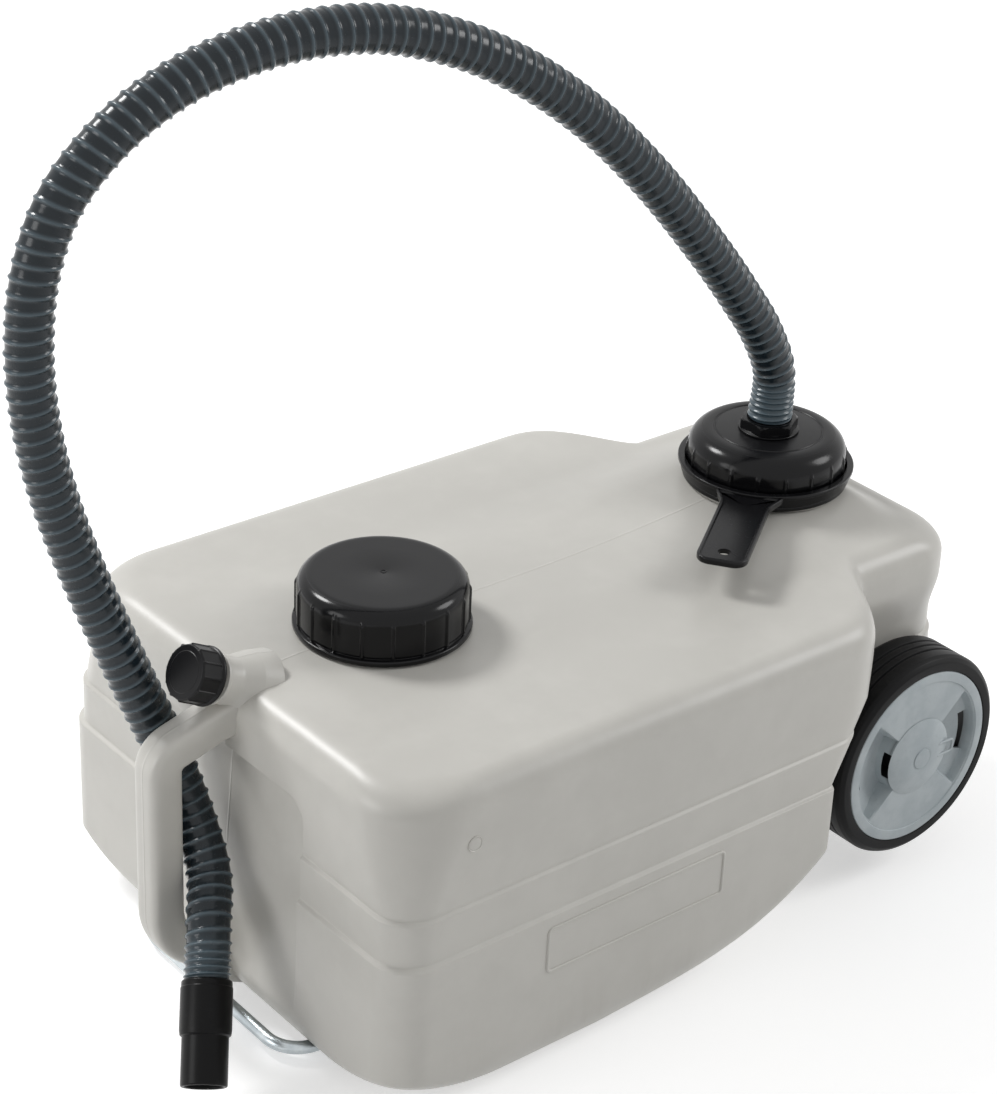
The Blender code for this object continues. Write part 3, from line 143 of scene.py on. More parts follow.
def makeCamera(view):
    turn, rise, roll = (math.radians(view[key]) for key in ("azimuth", "elevation", "roll"))
    width, height = view["imageSize"]
    data = bpy.data.cameras.new("photoCamera")
    data.sensor_width = view["sensor"]
    data.lens = view["focalPixels"] / height * view["sensor"]
    data.shift_x = (width / 2 - view["principalPoint"][0]) / height
    data.shift_y = (view["principalPoint"][1] - height / 2) / height
    data.clip_start, data.clip_end = view["clip"]
    camera = bpy.data.objects.new("photoCamera", data)
    bpy.context.scene.collection.objects.link(camera)
    # turned about the upright, tipped down from level, then rolled about the line of sight
    turned = Matrix.Rotation(turn, 4, "Z") @ Matrix.Rotation(math.pi / 2 - rise, 4, "X")
    camera.matrix_world = Matrix.Translation(view["place"]) @ turned @ Matrix.Rotation(roll, 4, "Z")
    bpy.context.scene.camera = camera


makeCamera(cameraView)


def gridFaces(rows, across, rowsClosed=False):
    # quads of a grid whose rows run round and meet; a closed one joins its last row to its first
    down = np.arange(rows if rowsClosed else rows - 1)[:, None]
    beside = np.arange(across)[None, :]
    below = (down + 1) % rows * across
    after = (beside + 1) % across
    corners = (down * across + beside, below + beside, below + after, down * across + after)
    return columns(*np.broadcast_arrays(*corners)).reshape(-1, 4)


def shape(points, faces):
    return np.asarray(points, float).reshape(-1, 3), faces


mergeDistance = 0.000004
flatDistance = 0.000001
usualSharp = 38.0


def makePiece(name, shapes, finish, sharp=usualSharp, shares=None):
    # joins the shapes into one mesh, merges its seams and poles and turns its faces outwards;
    # shares names values from 0 to 1 that the finish reads, one for each point
    starts = np.cumsum([0] + [len(points) for points, _ in shapes[:-1]])
    allPoints = joined(*(points for points, _ in shapes))
    allFaces = joined(*(faces + start for (_, faces), start in zip(shapes, starts)))
    mesh = bpy.data.meshes.new(name)
    mesh.from_pydata(allPoints.tolist(), [], allFaces.tolist())
    for label, values in (shares or {}).items():
        mesh.attributes.new(label, "FLOAT", "POINT").data.foreach_set("value", values.ravel())
    tidy = bmesh.new()
    tidy.from_mesh(mesh)
    bmesh.ops.remove_doubles(tidy, verts=tidy.verts, dist=mergeDistance)
    bmesh.ops.dissolve_degenerate(tidy, edges=tidy.edges, dist=flatDistance)
    bmesh.ops.recalc_face_normals(tidy, faces=tidy.faces)
    tidy.to_mesh(mesh)
    tidy.free()
    mesh.shade_smooth()
    mesh.set_sharp_from_angle(angle=math.radians(sharp))
    piece = bpy.data.objects.new(name, mesh)
    mesh.materials.append(finish)
    bpy.context.scene.collection.objects.link(piece)
    return piece


def carve(piece, cutters, sharp=usualSharp):  # takes the cutters' shapes out of the piece
    for cutter in cutters:
        change = piece.modifiers.new("carve", "BOOLEAN")
        change.operation = "DIFFERENCE"
        change.solver = "EXACT"
        change.object = cutter
    graph = bpy.context.evaluated_depsgraph_get()
    carved = bpy.data.meshes.new_from_object(piece.evaluated_get(graph))
    piece.modifiers.clear()
    piece.data = carved
    carved.set_sharp_from_angle(angle=math.radians(sharp))
    for cutter in cutters:
        bpy.data.objects.remove(cutter)


def place(piece, body, slot, *nodes):  # rides on a body and stands for CAD nodes, which it hides
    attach(piece, body)
    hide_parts(*nodes)


def boxShape(low, high):  # a box between its lowest and highest corner
    corners = np.array([[x, y, z] for x in (0, 1) for y in (0, 1) for z in (0, 1)])
    faces = np.array([[0, 1, 3, 2], [4, 6, 7, 5], [0, 4, 5, 1], [2, 3, 7, 6], [0, 2, 6, 4], [1, 5, 7, 3]])
    return shape(between(np.array(low), np.array(high), corners), faces)


def rounded(corners, radii, steps=6):
    # a line through the corners, with an arc of the given radius in place of each inner corner
    corners = np.array(corners, float)
    line = [corners[:1]]
    share = np.linspace(0.0, 1.0, steps + 1)[:, None]
    for before, corner, after, radius in zip(corners, corners[1:], corners[2:], radii):
        back, on = unit(before - corner), unit(after - corner)
        half = math.acos(np.clip(back @ on, -1.0, 1.0)) / 2
        if radius == 0 or half > 1.56:  # a sharp corner, or nearly none
            line.append(corner[None])
            continue
        room = 0.49 * min(np.linalg.norm(before - corner), np.linalg.norm(after - corner))
        reach = min(radius / math.tan(half), room)
        centre = corner + unit(back + on) * (reach / math.cos(half))
        start, end = corner + back * reach - centre, corner + on * reach - centre
        sweep = math.pi - 2 * half
        arc = (start * np.sin(sweep * (1 - share)) + end * np.sin(sweep * share)) / math.sin(sweep)
        line.append(centre + arc)
    return joined(*line, corners[-1:])


def roundedRows(rows, steps):  # the same for rows of radius, height and the arc's radius at that corner
    rows = np.array(rows, float)
    return rounded(rows[:, :2], rows[1:-1, 2], steps)


def uprightLine(radius, start, end, count):  # a wall's points, close enough for ribs to be worked into it
    return columns(np.full(count, radius), np.linspace(start, end, count))


def revolved(profile, steps, centre=(0, 0, 0), along=(0, 0, 1), closed=True, change=None):
    # turns a profile of radius and height about an axis: centre + radius x (cosine, sine) + height x along;
    # change may move radius and height by the angle
    along = np.array(along, float)
    first = unit(np.cross([0.0, 1.0, 0.0], along)) if abs(along[1]) < 0.9 else np.array([1.0, 0.0, 0.0])
    second = np.cross(along, first)
    angle = angles(steps)
    radius, height = (column[:, None] + 0 * angle for column in np.asarray(profile, float).T)
    if change:
        radius, height = change(angle[None, :] + 0 * radius, radius, height)
    outwards = (radius * np.cos(angle))[..., None] * first + (radius * np.sin(angle))[..., None] * second
    points = np.array(centre) + outwards + height[..., None] * along
    return shape(points, gridFaces(len(profile), steps, closed))


def swept(path, section, across, closed=False, grow=1.0):
    # carries a closed section along a path: path + section's first value x normal + second x binormal;
    # the ends shrink to a point, so that the shape is closed
    path, across = np.asarray(path, float), np.array(across, float)
    tangent = unit(np.roll(path, -1, 0) - np.roll(path, 1, 0) if closed else np.gradient(path, axis=0))
    binormal = unit(across - (tangent @ across)[:, None] * tangent)
    normal = np.cross(binormal, tangent)
    section = np.broadcast_to(section, (len(path),) + np.shape(section)[-2:]) * np.reshape(grow, (-1, 1, 1))
    points = path[:, None] + section[..., :1] * normal[:, None] + section[..., 1:] * binormal[:, None]
    if not closed:
        ends = np.broadcast_to(path[[0, -1], None], (2, points.shape[1], 3))
        points = joined(ends[:1], points, ends[1:])
    return shape(points, gridFaces(points.shape[0], points.shape[1], closed))


def roundSection(radius, sides):  # radius x (cosine, sine) evenly round
    angle = angles(sides)
    return columns(radius * np.cos(angle), radius * np.sin(angle))


def cylinderShape(radius, start, end, steps):  # a closed cylinder between two points
    start, end = np.array(start, float), np.array(end, float)
    tall = np.linalg.norm(end - start)
    profile = [(0, 0), (radius, 0), (radius, tall), (0, tall)]
    return revolved(profile, steps, start, unit(end - start), closed=False)


class Wire:  # a socket that takes part in sums as a number does
    def __init__(self, nodes, socket):
        self.nodes = nodes
        self.socket = socket

    def maths(self, operation, first, second=0.0):
        return self.nodes.add("ShaderNodeMath", {"operation": operation}, {0: first, 1: second})

    def __add__(self, other):
        return self.maths("ADD", self, other)

    def __radd__(self, other):
        return self.maths("ADD", other, self)

    def __sub__(self, other):
        return self.maths("SUBTRACT", self, other)

    def __rsub__(self, other):
        return self.maths("SUBTRACT", other, self)

    def __mul__(self, other):
        return self.maths("MULTIPLY", self, other)

    def __rmul__(self, other):
        return self.maths("MULTIPLY", other, self)

    def __truediv__(self, other):
        return self.maths("DIVIDE", self, other)

    def __pow__(self, other):
        return self.maths("POWER", self, other)

    def size(self):
        return self.maths("ABSOLUTE", self)

    def sine(self):
        return self.maths("SINE", self)

    def bell(self, width):  # 1 where the value is 0, falling to nothing a few widths away
        return self.maths("EXPONENT", (self / width) ** 2 * -1.0)

    def step(self, low, high):  # 0 at low, 1 at high
        values = {"Value": self, "From Min": low, "From Max": high}
        return self.nodes.add("ShaderNodeMapRange", {"interpolation_type": "SMOOTHSTEP"}, values)


class Nodes:  # a node tree that calls fill
    def __init__(self, tree):
        self.tree = tree

    def add(self, kind, settings, values, output=0):
        node = self.tree.nodes.new(kind)
        for name, value in settings.items():
            setattr(node, name, value)
        for key, value in values.items():
            if isinstance(value, Wire):
                self.tree.links.new(value.socket, node.inputs[key])
            else:
                node.inputs[key].default_value = value
        return Wire(self, node.outputs[output])


class Finish(Nodes):  # one material: its nodes and the shader that they feed
    def __init__(self, name, **plain):
        self.material = bpy.data.materials.new(name)
        self.material.use_nodes = True
        super().__init__(self.material.node_tree)
        self.shader = self.tree.nodes["Principled BSDF"]
        for socket, value in plain.items():
            self.shader.inputs[socket.replace("_", " ")].default_value = value

    def here(self):
        return self.add("ShaderNodeTexCoord", {}, {}, output=3)

    def split(self, vector):
        parts = self.add("ShaderNodeSeparateXYZ", {}, {0: vector})
        return [Wire(self, socket) for socket in parts.socket.node.outputs]

    def moved(self, vector, centre=(0, 0, 0), turn=(0, 0, 0), scale=(1, 1, 1)):
        values = {"Vector": vector, "Location": centre, "Rotation": turn, "Scale": scale}
        return self.add("ShaderNodeMapping", {"vector_type": "POINT"}, values)

    def noise(self, vector, scale, detail=2.0, rough=0.5):
        values = {"Vector": vector, "Scale": scale, "Detail": detail, "Roughness": rough, "Distortion": 0.0}
        return self.add("ShaderNodeTexNoise", {}, values)

    def share(self, name):
        return self.add("ShaderNodeAttribute", {"attribute_name": name}, {}, output=2)

    def tint(self, share, low, high):
        return self.add("ShaderNodeMix", {"data_type": "RGBA"}, {0: share, 6: low, 7: high}, output=2)

    def feed(self, socket, wire):
        self.tree.links.new(wire.socket, self.shader.inputs[socket])

    def done(self, colour, roughness, height):  # height in metres
        bump = self.add("ShaderNodeBump", {}, {"Height": height, "Distance": 1.0, "Strength": 1.0})
        for socket, wire in (("Base Color", colour), ("Roughness", roughness), ("Normal", bump)):
            self.feed(socket, wire)
        return self.material


def tone(red, green, blue):  # a colour from 0 to 255 as the renderer's linear values
    values = np.array([red, green, blue]) / 255.0
    linear = np.where(values <= 0.04045, values / 12.92, ((values + 0.055) / 1.055) ** 2.4)
    return (*linear.tolist(), 1.0)


# Where the round pieces stand; the same places are used by shapes and by finishes.
fillerCentre = (-0.1108, 0.0, 0.2225)
hoseCapCentre = (0.2009, 0.0, 0.2310)
ventTilt = math.radians(28.0)
ventAxis = np.array([-math.cos(ventTilt), 0.0, math.sin(ventTilt)])
ventBase = np.array([-0.2354, 0.0, 0.2279])
wheelCentre = (0.2095, 0.0886)

tankLook = {
    "light": tone(202, 200, 194),
    "dark": tone(196, 194, 188),
    "grime": tone(158, 153, 143),
    "grimeUpTo": 0.085,
    "roughness": 0.30,
    "waves": 0.00064,
    "patchRelief": 0.000096,
    "grain": 0.000008,
    "partingLine": 0.00024,
    "partingWidth": 0.0007,
}


def tankFinish(look):
    made = Finish("greyTankPlastic", IOR=1.5)
    here = made.here()
    y, z = made.split(here)[1:]
    clouds = made.noise(here, 6.0, 3.0)
    patches = made.noise(here, 34.0, 4.0, 0.6)
    grain = made.noise(here, 1100.0)
    streaks = made.noise(made.moved(here, scale=(30.0, 30.0, 5.0)), 1.0, 4.0, 0.65)
    base = made.tint((clouds * 0.55 + patches * 0.45).step(0.36, 0.64), look["dark"], look["light"])
    low = 1.0 - z.step(0.0, look["grimeUpTo"])
    dirt = low * streaks.step(0.45, 0.75) * 0.30 + streaks.step(0.62, 0.8) * 0.05
    wavy = made.noise(here, 17.0) * look["waves"] + patches * look["patchRelief"]
    parting = y.bell(look["partingWidth"]) * look["partingLine"]
    return made.done(
        made.tint(dirt, base, look["grime"]),
        look["roughness"] + patches * 0.07 + streaks * 0.05,
        wavy + grain * look["grain"] + parting,
    )


blackLook = {
    "colour": tone(12, 12, 14),
    "worn": tone(30, 30, 32),
    "grain": 0.000006,
    "patchRelief": 0.00006,
    "rings": 5200.0,
    "ringRelief": 0.000006,
    "ringRoughness": 0.16,
}


def blackFinish(name, roughness, ringsAt=None, ringsAbove=0.0):
    # glossy or satin moulded black; ringsAt adds the faint turning marks of a cap's flat top
    look = blackLook
    made = Finish(name, IOR=1.5, Specular_IOR_Level=0.22)
    here = made.here()
    patches = made.noise(here, 60.0, 4.0, 0.6)
    dust = made.noise(here, 420.0, 3.0, 0.7)
    scratches = made.noise(made.moved(here, turn=(0.3, 0.2, 0.9), scale=(1500.0, 60.0, 200.0)), 1.0)
    worn = dust.step(0.62, 0.82) * 0.18 + scratches.step(0.70, 0.82) * 0.22
    height = made.noise(here, 900.0) * look["grain"] + patches * look["patchRelief"]
    rough = roughness + patches * 0.08 + worn * 0.20
    if ringsAt:
        x, y, z = made.split(made.moved(here, centre=(-ringsAt[0], -ringsAt[1], 0.0)))
        radius = (x * x + y * y) ** 0.5
        top = z.step(ringsAbove - 0.0004, ringsAbove)
        rings = (radius * look["rings"]).sine() * 0.5 + made.noise(here, 300.0)
        rough = rough + top * look["ringRoughness"]
        height = height + top * rings * look["ringRelief"]
    return made.done(made.tint(worn, look["colour"], look["worn"]), rough, height)


hoseLook = {
    "tube": tone(24, 33, 39),
    "rib": tone(84, 98, 106),
    "paintedSheenTube": tone(62, 76, 84),
    "roughness": 0.17,
    "waves": 0.00003,
    "grain": 0.000006,
}


def hoseFinish(look):
    # share is 1 where the ribs stand close together at both ends, where the tube is painted lighter as a
    # painted sheen, and rib is 1 on a rib's crest, which is painted lighter as a painted highlight
    made = Finish("slateHosePlastic", IOR=1.48, Specular_IOR_Level=0.36)
    here = made.here()
    clouds = made.noise(here, 22.0, 3.0)
    dust = made.noise(here, 500.0, 3.0, 0.7)
    # painted sheen: the tube is painted lighter near both ends, where the ribs crowd
    tube = made.tint(made.share("share"), look["tube"], look["paintedSheenTube"])
    return made.done(
        # painted highlight: the rib crests are painted paler than the tube
        made.tint(made.share("rib") * (0.75 + clouds * 0.4), tube, look["rib"]),
        look["roughness"] + clouds * 0.10 + dust.step(0.55, 0.8) * 0.15,
        made.noise(here, 260.0) * look["waves"] + dust * look["grain"],
    )


def rubberFinish(name, grey, roughness):  # grey holds red, green and blue; the dust on it is 18 paler
    made = Finish(name, IOR=1.5, Specular_IOR_Level=0.14)
    here = made.here()
    clouds = made.noise(here, 30.0, 4.0, 0.6)
    grain = made.noise(here, 1300.0, 2.0, 0.7)
    dust = made.noise(here, 140.0, 4.0, 0.7).step(0.56, 0.78) * 0.35
    return made.done(
        made.tint(dust, tone(*grey), tone(*(value + 18 for value in grey))),
        roughness + clouds * 0.14 + dust * 0.2,
        grain * 0.00002 + clouds * 0.00012,
    )


rimLook = {
    "low": tone(166, 175, 179),
    "high": tone(180, 188, 191),
    "dust": tone(146, 153, 157),
    "paintedShade": tone(20, 21, 23),
    "roughness": 0.34,
    # where shade is painted nearly black into the hollows, behind the web, in the slots and under the hub
    # cap: distances from the middle plane, and from the axle
    "webBack": (0.1388, 0.1398),
    "slotFloor": (0.1424, 0.1432),
    "slotFrom": (0.0440, 0.0446),
    "underCap": (0.1490, 0.1500),
    "capEdge": (0.0258, 0.0266),
    "dome": (0.0255, 0.0275),
    "flow": 0.0003,
    "waves": 0.00008,
    "grain": 0.000012,
}


def rimFinish(look):
    made = Finish("blueGreyRimPlastic", IOR=1.48)
    here = made.here()
    x, y, z = made.split(made.moved(here, centre=(-wheelCentre[0], 0.0, -wheelCentre[1])))
    radius = (x * x + z * z) ** 0.5
    clouds = made.noise(here, 40.0, 4.0, 0.6)
    dust = made.noise(here, 380.0, 3.0, 0.7)
    flow = made.noise(made.moved(here, scale=(60.0, 1.0, 60.0)), 1.0, 3.0, 0.6)
    base = made.tint(clouds.step(0.35, 0.65), look["low"], look["high"])
    plain = made.tint(dust.step(0.58, 0.8) * 0.35, base, look["dust"])
    out = y.size()
    # painted shade: behind the web, in the slots and under the hub cap's edge the colour goes nearly black,
    # as these hollows lie in shade
    behind = 1.0 - out.step(*look["webBack"])
    slot = (1.0 - out.step(*look["slotFloor"])) * radius.step(*look["slotFrom"])
    under = (1.0 - out.step(*look["underCap"])) * (1.0 - radius.step(*look["capEdge"]))
    dome = 1.0 - radius.step(*look["dome"])
    return made.done(
        made.tint(behind + slot + under, plain, look["paintedShade"]),
        look["roughness"] + clouds * 0.14 + dust * 0.08,
        flow * look["flow"] * dome + clouds * look["waves"] + dust * look["grain"],
    )


zincLook = {
    "low": tone(176, 184, 188),
    "high": tone(212, 218, 220),
    "spots": tone(118, 118, 120),
    "roughness": 0.26,
    "drawn": 0.00001,
    "waves": 0.00003,
}


def zincFinish(look):
    made = Finish("zincPlatedSteel", Metallic=1.0)
    here = made.here()
    clouds = made.noise(here, 45.0, 5.0, 0.65)
    drawn = made.noise(made.moved(here, scale=(60.0, 1600.0, 1600.0)), 1.0, 3.0)
    spots = made.noise(here, 320.0, 4.0, 0.7).step(0.62, 0.78)
    bright = made.tint(clouds.step(0.3, 0.7), look["low"], look["high"])
    return made.done(
        made.tint(spots * 0.5, bright, look["spots"]),
        look["roughness"] + clouds * 0.16 + spots * 0.25,
        drawn * look["drawn"] + clouds * look["waves"],
    )


greyPlastic = tankFinish(tankLook)
fillerBlack = blackFinish("glossyFillerPlastic", 0.13, fillerCentre, 0.2560)
hoseCapBlack = blackFinish("glossyHoseCapPlastic", 0.15, hoseCapCentre, 0.2640)
wrenchBlack = blackFinish("satinWrenchPlastic", 0.22)
ventBlack = blackFinish("mattVentPlastic", 0.30)
nutBlack = blackFinish("nutPlastic", 0.18)
slateHose = hoseFinish(hoseLook)
nozzleRubber = rubberFinish("blackNozzleRubber", (9, 9, 10), 0.26)
tyreRubber = rubberFinish("blackTyreRubber", (12, 12, 13), 0.40)
sealRubber = rubberFinish("greySealRubber", (58, 58, 60), 0.55)
rimPlastic = rimFinish(rimLook)
zincSteel = zincFinish(zincLook)
print("stage: finishes made")

# The drain hose: up from its gland, over the tank, down in front and through the grip.
hose = {
    "exit": (0.2009, 0.0, 0.2736),
    "valley": 0.0127,
    "crest": 0.0012,
    "gland": 0.0007,
    "glandRun": 0.026,
    "glandFade": 0.006,
    "nozzleRun": 0.018,
    "nozzleFade": (0.008, 0.012),
    "nozzleSheen": 0.65,
    "ribWidth": 0.0010,
    "narrowRib": 0.75,
    "narrowPitch": (0.004, 0.007),
    "pitch": 0.0082,
    "endPitch": 0.0040,
    "ringsPerRib": 12,
    "sides": 40,
    "route": [
        (0.2009, 0.000, 0.2736), (0.2009, 0.000, 0.3056), (0.1879, 0.000, 0.3339),
        (0.1632, 0.000, 0.3681), (0.1240, 0.000, 0.4157), (0.0749, 0.001, 0.4695),
        (0.0306, 0.005, 0.5108), (-0.0177, 0.010, 0.5450), (-0.0632, 0.015, 0.5674),
        (-0.1070, 0.020, 0.5803), (-0.1509, 0.025, 0.5834), (-0.1940, 0.030, 0.5780),
        (-0.2359, 0.035, 0.5637), (-0.2700, 0.039, 0.5415), (-0.2960, 0.042, 0.5125),
        (-0.3102, 0.044, 0.4769), (-0.3153, 0.045, 0.4368), (-0.3132, 0.045, 0.3910),
        (-0.3034, 0.045, 0.3420), (-0.2896, 0.043, 0.2951), (-0.2749, 0.040, 0.2522),
        (-0.2605, 0.036, 0.2120), (-0.2480, 0.030, 0.1760), (-0.2418, 0.018, 0.1465),
        (-0.2405, 0.004, 0.1235), (-0.2440, -0.0125, 0.1060),
    ],
    "nozzleTop": (-0.2740, -0.0556, 0.0654),
    "nozzleTip": (-0.3000, -0.0906, 0.0229),
    "straight": 0.0300,
    "fineSteps": 4000,
}
nozzleTop = np.array(hose["nozzleTop"])
nozzleAxis = unit(np.array(hose["nozzleTip"]) - nozzleTop)


def smoothLine(route, count):
    # a Hermite curve through the points, whose slopes weigh the runs by their lengths, read at even steps
    points = np.array(route, float)
    spans = np.linalg.norm(np.diff(points, axis=0), axis=1)[:, None]
    runs = np.diff(points, axis=0) / spans
    inner = (runs[:-1] * spans[1:] + runs[1:] * spans[:-1]) / (spans[:-1] + spans[1:])
    slopes = joined(runs[:1], inner, runs[-1:])
    t = np.linspace(0.0, 1.0, 64, endpoint=False)[None, :, None]
    spans = spans[:, None]
    line = (
        points[:-1, None] * (2 * t**3 - 3 * t**2 + 1)
        + slopes[:-1, None] * spans * (t**3 - 2 * t**2 + t)
        + points[1:, None] * (3 * t**2 - 2 * t**3)
        + slopes[1:, None] * spans * (t**3 - t**2)
    ).reshape(-1, 3)
    line = joined(line, points[-1:])
    along = arcLengths(line)
    places = np.linspace(0.0, along[-1], count)
    return readLine(places, along, line), places


def makeHose(s):
    route = s["route"] + [tuple(nozzleTop - nozzleAxis * s["straight"]), tuple(nozzleTop)]
    fine, places = smoothLine(route, s["fineSteps"])
    length = places[-1]
    # the ribs stand close together just above the gland and just above the nozzle
    fromGland = ease(s["glandRun"] - s["glandFade"], s["glandRun"] + s["glandFade"], places)
    before, after = s["nozzleFade"]
    fromNozzle = ease(s["nozzleRun"] - before, s["nozzleRun"] + after, length - places)
    pitch = between(s["endPitch"], s["pitch"], np.minimum(fromGland, fromNozzle))
    turns = joined([0.0], np.cumsum(np.diff(places) / pitch[1:]))
    ringTurns = np.linspace(0.0, turns[-1], int(turns[-1] * s["ringsPerRib"]))
    at = np.interp(ringTurns, turns, places)
    path = readLine(at, places, fine)
    ringPitch = np.interp(at, places, pitch)[:, None]
    angle = angles(s["sides"])
    # the ribs run as a helix: a crest stands where turns along the hose less turns round it is whole
    offset = fromWhole(ringTurns[:, None] - angle[None, :] / (2 * math.pi)) * ringPitch
    width = s["ribWidth"] * between(s["narrowRib"], 1.0, ease(*s["narrowPitch"], ringPitch))
    rib = np.exp(-((offset / width) ** 2))
    flare = s["gland"] * (1 - ease(0.0, s["glandRun"], at))
    radius = s["valley"] + flare[:, None] + s["crest"] * rib
    section = columns(radius * np.cos(angle), radius * np.sin(angle))
    # share below carries the painted sheen that lightens the tube near both ends, weaker at the nozzle; rib
    # carries the painted highlight on the crests
    nozzleEnd = (1 - s["nozzleSheen"]) + s["nozzleSheen"] * fromNozzle
    nearEnd = 1 - np.interp(at, places, np.minimum(fromGland, nozzleEnd))
    ends = np.zeros((1, s["sides"]))
    shares = {
        "share": joined(ends + 1, nearEnd[:, None] + 0 * rib, ends + 1),
        "rib": joined(ends, rib, ends),
    }
    return makePiece("drainHose", [swept(path, section, (0, 1, 0))], slateHose, 60.0, shares), path, length


hosePiece, hosePath, hoseLength = makeHose(hose)
print("stage: hose made,", round(float(hoseLength), 4), "m,", len(hosePath), "rings")

# Profiles are rows of radius, height and the arc's radius at that corner.
nozzle = {
    "profile": [
        (0.0112, 0.0305, 0), (0.0112, 0.0003, 0.0012), (0.0148, 0.0003, 0.0016),
        (0.0148, 0.0042, 0.0006), (0.0152, 0.0048, 0.0010), (0.0152, 0.0290, 0.0020),
        (0.0148, 0.0320, 0.0009), (0.0136, 0.0326, 0.0008), (0.0136, 0.0610, 0.0012),
        (0.0112, 0.0610, 0.0010), (0.0112, 0.0305, 0),
    ],
    "steps": 72,
}
nozzleTurned = revolved(roundedRows(nozzle["profile"], 5)[:-1], nozzle["steps"], nozzleTop, nozzleAxis)
nozzlePiece = makePiece("hoseNozzle", [nozzleTurned], nozzleRubber)
place(nozzlePiece, "tank", "nozzle_rubber", "hose_nozzle")
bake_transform(hosePiece)
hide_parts("drain_hose")
[tuple(point) for point in hosePath[::12].tolist()] + [tuple(hosePath[-1].tolist())]

# The tank's shell: plan outlines at each height, fine where the ledge, the crease and the recess turn.
tank = {
    "front": -0.2280,
    "rear": 0.2790,
    "wide": 0.1750,
    "narrow": 0.1110,
    "narrowHigh": 0.1170,
    "widens": (0.1580, 0.1900),
    "top": 0.2193,
    "crown": 0.0022,
    "crownRise": 0.0086,
    "climb": (-0.0100, 0.1650),
    "crownSide": (0.0400, 0.0950),
    "crownFront": 0.0350,
    "crownRear": 0.0254,
    "tailFloor": 0.0840,
    "ledgeAt": 0.1150,
    "ledge": 0.0025,
    "ledgeHalf": 0.0012,
    "creaseAt": 0.1440,
    "crease": 0.0015,
    "creaseGroove": 0.0003,
    "grooveWidth": 0.0009,
    "draft": 0.0005,
    "shoulder": 0.0180,
    "belly": 0.0355,
    "cornerBottom": 0.1000,
    "cornerLow": 0.0250,
    "cornerHigh": 0.0460,
    "tailCorner": 0.0330,
    "waistLow": (0.1058, 0.1307),
    "waistHigh": (0.1084, 0.1836),
    "archTop": 0.1640,
    "archPower": 0.63,
    "waistPower": 1.82,
    "bellyFlatEnd": 0.0850,
    "bellyRiseEnd": 0.1330,
    "chineStart": -0.0677,
    "chineEnd": 0.1311,
    "chineLead": 0.153,
    "chineInner": 0.58,
    "chineSpread": 0.30,
    "recess": 0.0055,
    "recessHalf": 0.0780,
    "recessTop": 0.1780,
    "recessBreak": 0.1100,
    "recessCorner": 0.0150,
    "recessLean": 0.0050,
    "recessEdge": (-0.0022, 0.0006),
    "recessDeep": 0.0200,
    # the front's fixed columns: first, last and how many, and the width from which they keep their places
    "frontColumns": ((0, 0.068, 13), (0.0685, 0.0880, 26)),
    "frontFull": 0.120,
    # how many columns the rest of the front, side, waist, tail's side, rear and each corner have
    "columns": (8, 50, 36, 14, 11),
    "cornerColumns": 21,
    # the middle line that belly and top close towards: how far from front and rear it ends
    "middleEnds": (0.085, 0.075),
    "fillRows": 40,
}
sideTop = tank["top"] - tank["shoulder"]


def wallInset(z):  # how far the wall stands in from its widest outline
    s = tank
    half = s["ledgeHalf"]
    ledge = s["ledge"] * ease(s["ledgeAt"] - half, s["ledgeAt"] + half, z)
    crease = s["crease"] * ease(s["creaseAt"] - half, s["creaseAt"] + half, z)
    groove = s["creaseGroove"] * np.exp(-(((z - s["creaseAt"] - half) / s["grooveWidth"]) ** 2))
    lean = s["draft"] * ramp(s["creaseAt"], sideTop, z)
    return ledge + crease + groove + lean


def tankOutline(z, inset):
    # front with its recess, front corner, side, waist, tail corner and rear, then the same mirrored
    s = tank
    high = ramp(s["creaseAt"], sideTop, z)
    low = np.maximum(1 - z / s["belly"], 0)
    corner = between(s["cornerLow"], s["cornerHigh"], high) + (s["cornerBottom"] - s["cornerLow"]) * low
    arch = ramp(s["ledgeAt"] + s["ledgeHalf"], s["archTop"], z) ** s["archPower"]
    waistStart, waistEnd = (between(*ends, arch) for ends in zip(s["waistLow"], s["waistHigh"]))
    front, rear, wide = s["front"] + inset, s["rear"] - inset, s["wide"] - inset
    narrow = between(s["narrow"], s["narrowHigh"], ease(*s["widens"], z)) - inset
    turn = np.linspace(0, math.pi / 2, s["cornerColumns"])[None, :]
    # the columns beside the recess stay in place, and draw together where the front is shorter
    fixed = joined(*(np.linspace(*run) for run in s["frontColumns"]))[None, :]
    fixed = fixed * np.minimum((wide - corner) / s["frontFull"], 1.0)
    frontRest, side, waist, tailSide, back = (np.linspace(0, 1, count)[None, 1:] for count in s["columns"])
    tail = s["tailCorner"]
    x, y = inBands([
        (front, fixed),
        (front, between(fixed[:, -1:], wide - corner, frontRest[:, :-1])),
        (front + corner * (1 - np.cos(turn)), wide - corner * (1 - np.sin(turn))),
        (between(front + corner, waistStart, side), wide),
        (
            between(waistStart, waistEnd, waist),
            between(wide, narrow, ease(0, 1, waist ** between(1.0, s["waistPower"], arch))),
        ),
        (between(waistEnd, rear - tail, tailSide[:, :-1]), narrow),
        (rear - tail * (1 - np.sin(turn)), narrow - tail * (1 - np.cos(turn))),
        (rear, (narrow - tail) * (1 - back)),
    ], axis=1)
    return joined(x, x[:, -2:0:-1], axis=1), joined(y, -y[:, -2:0:-1], axis=1)


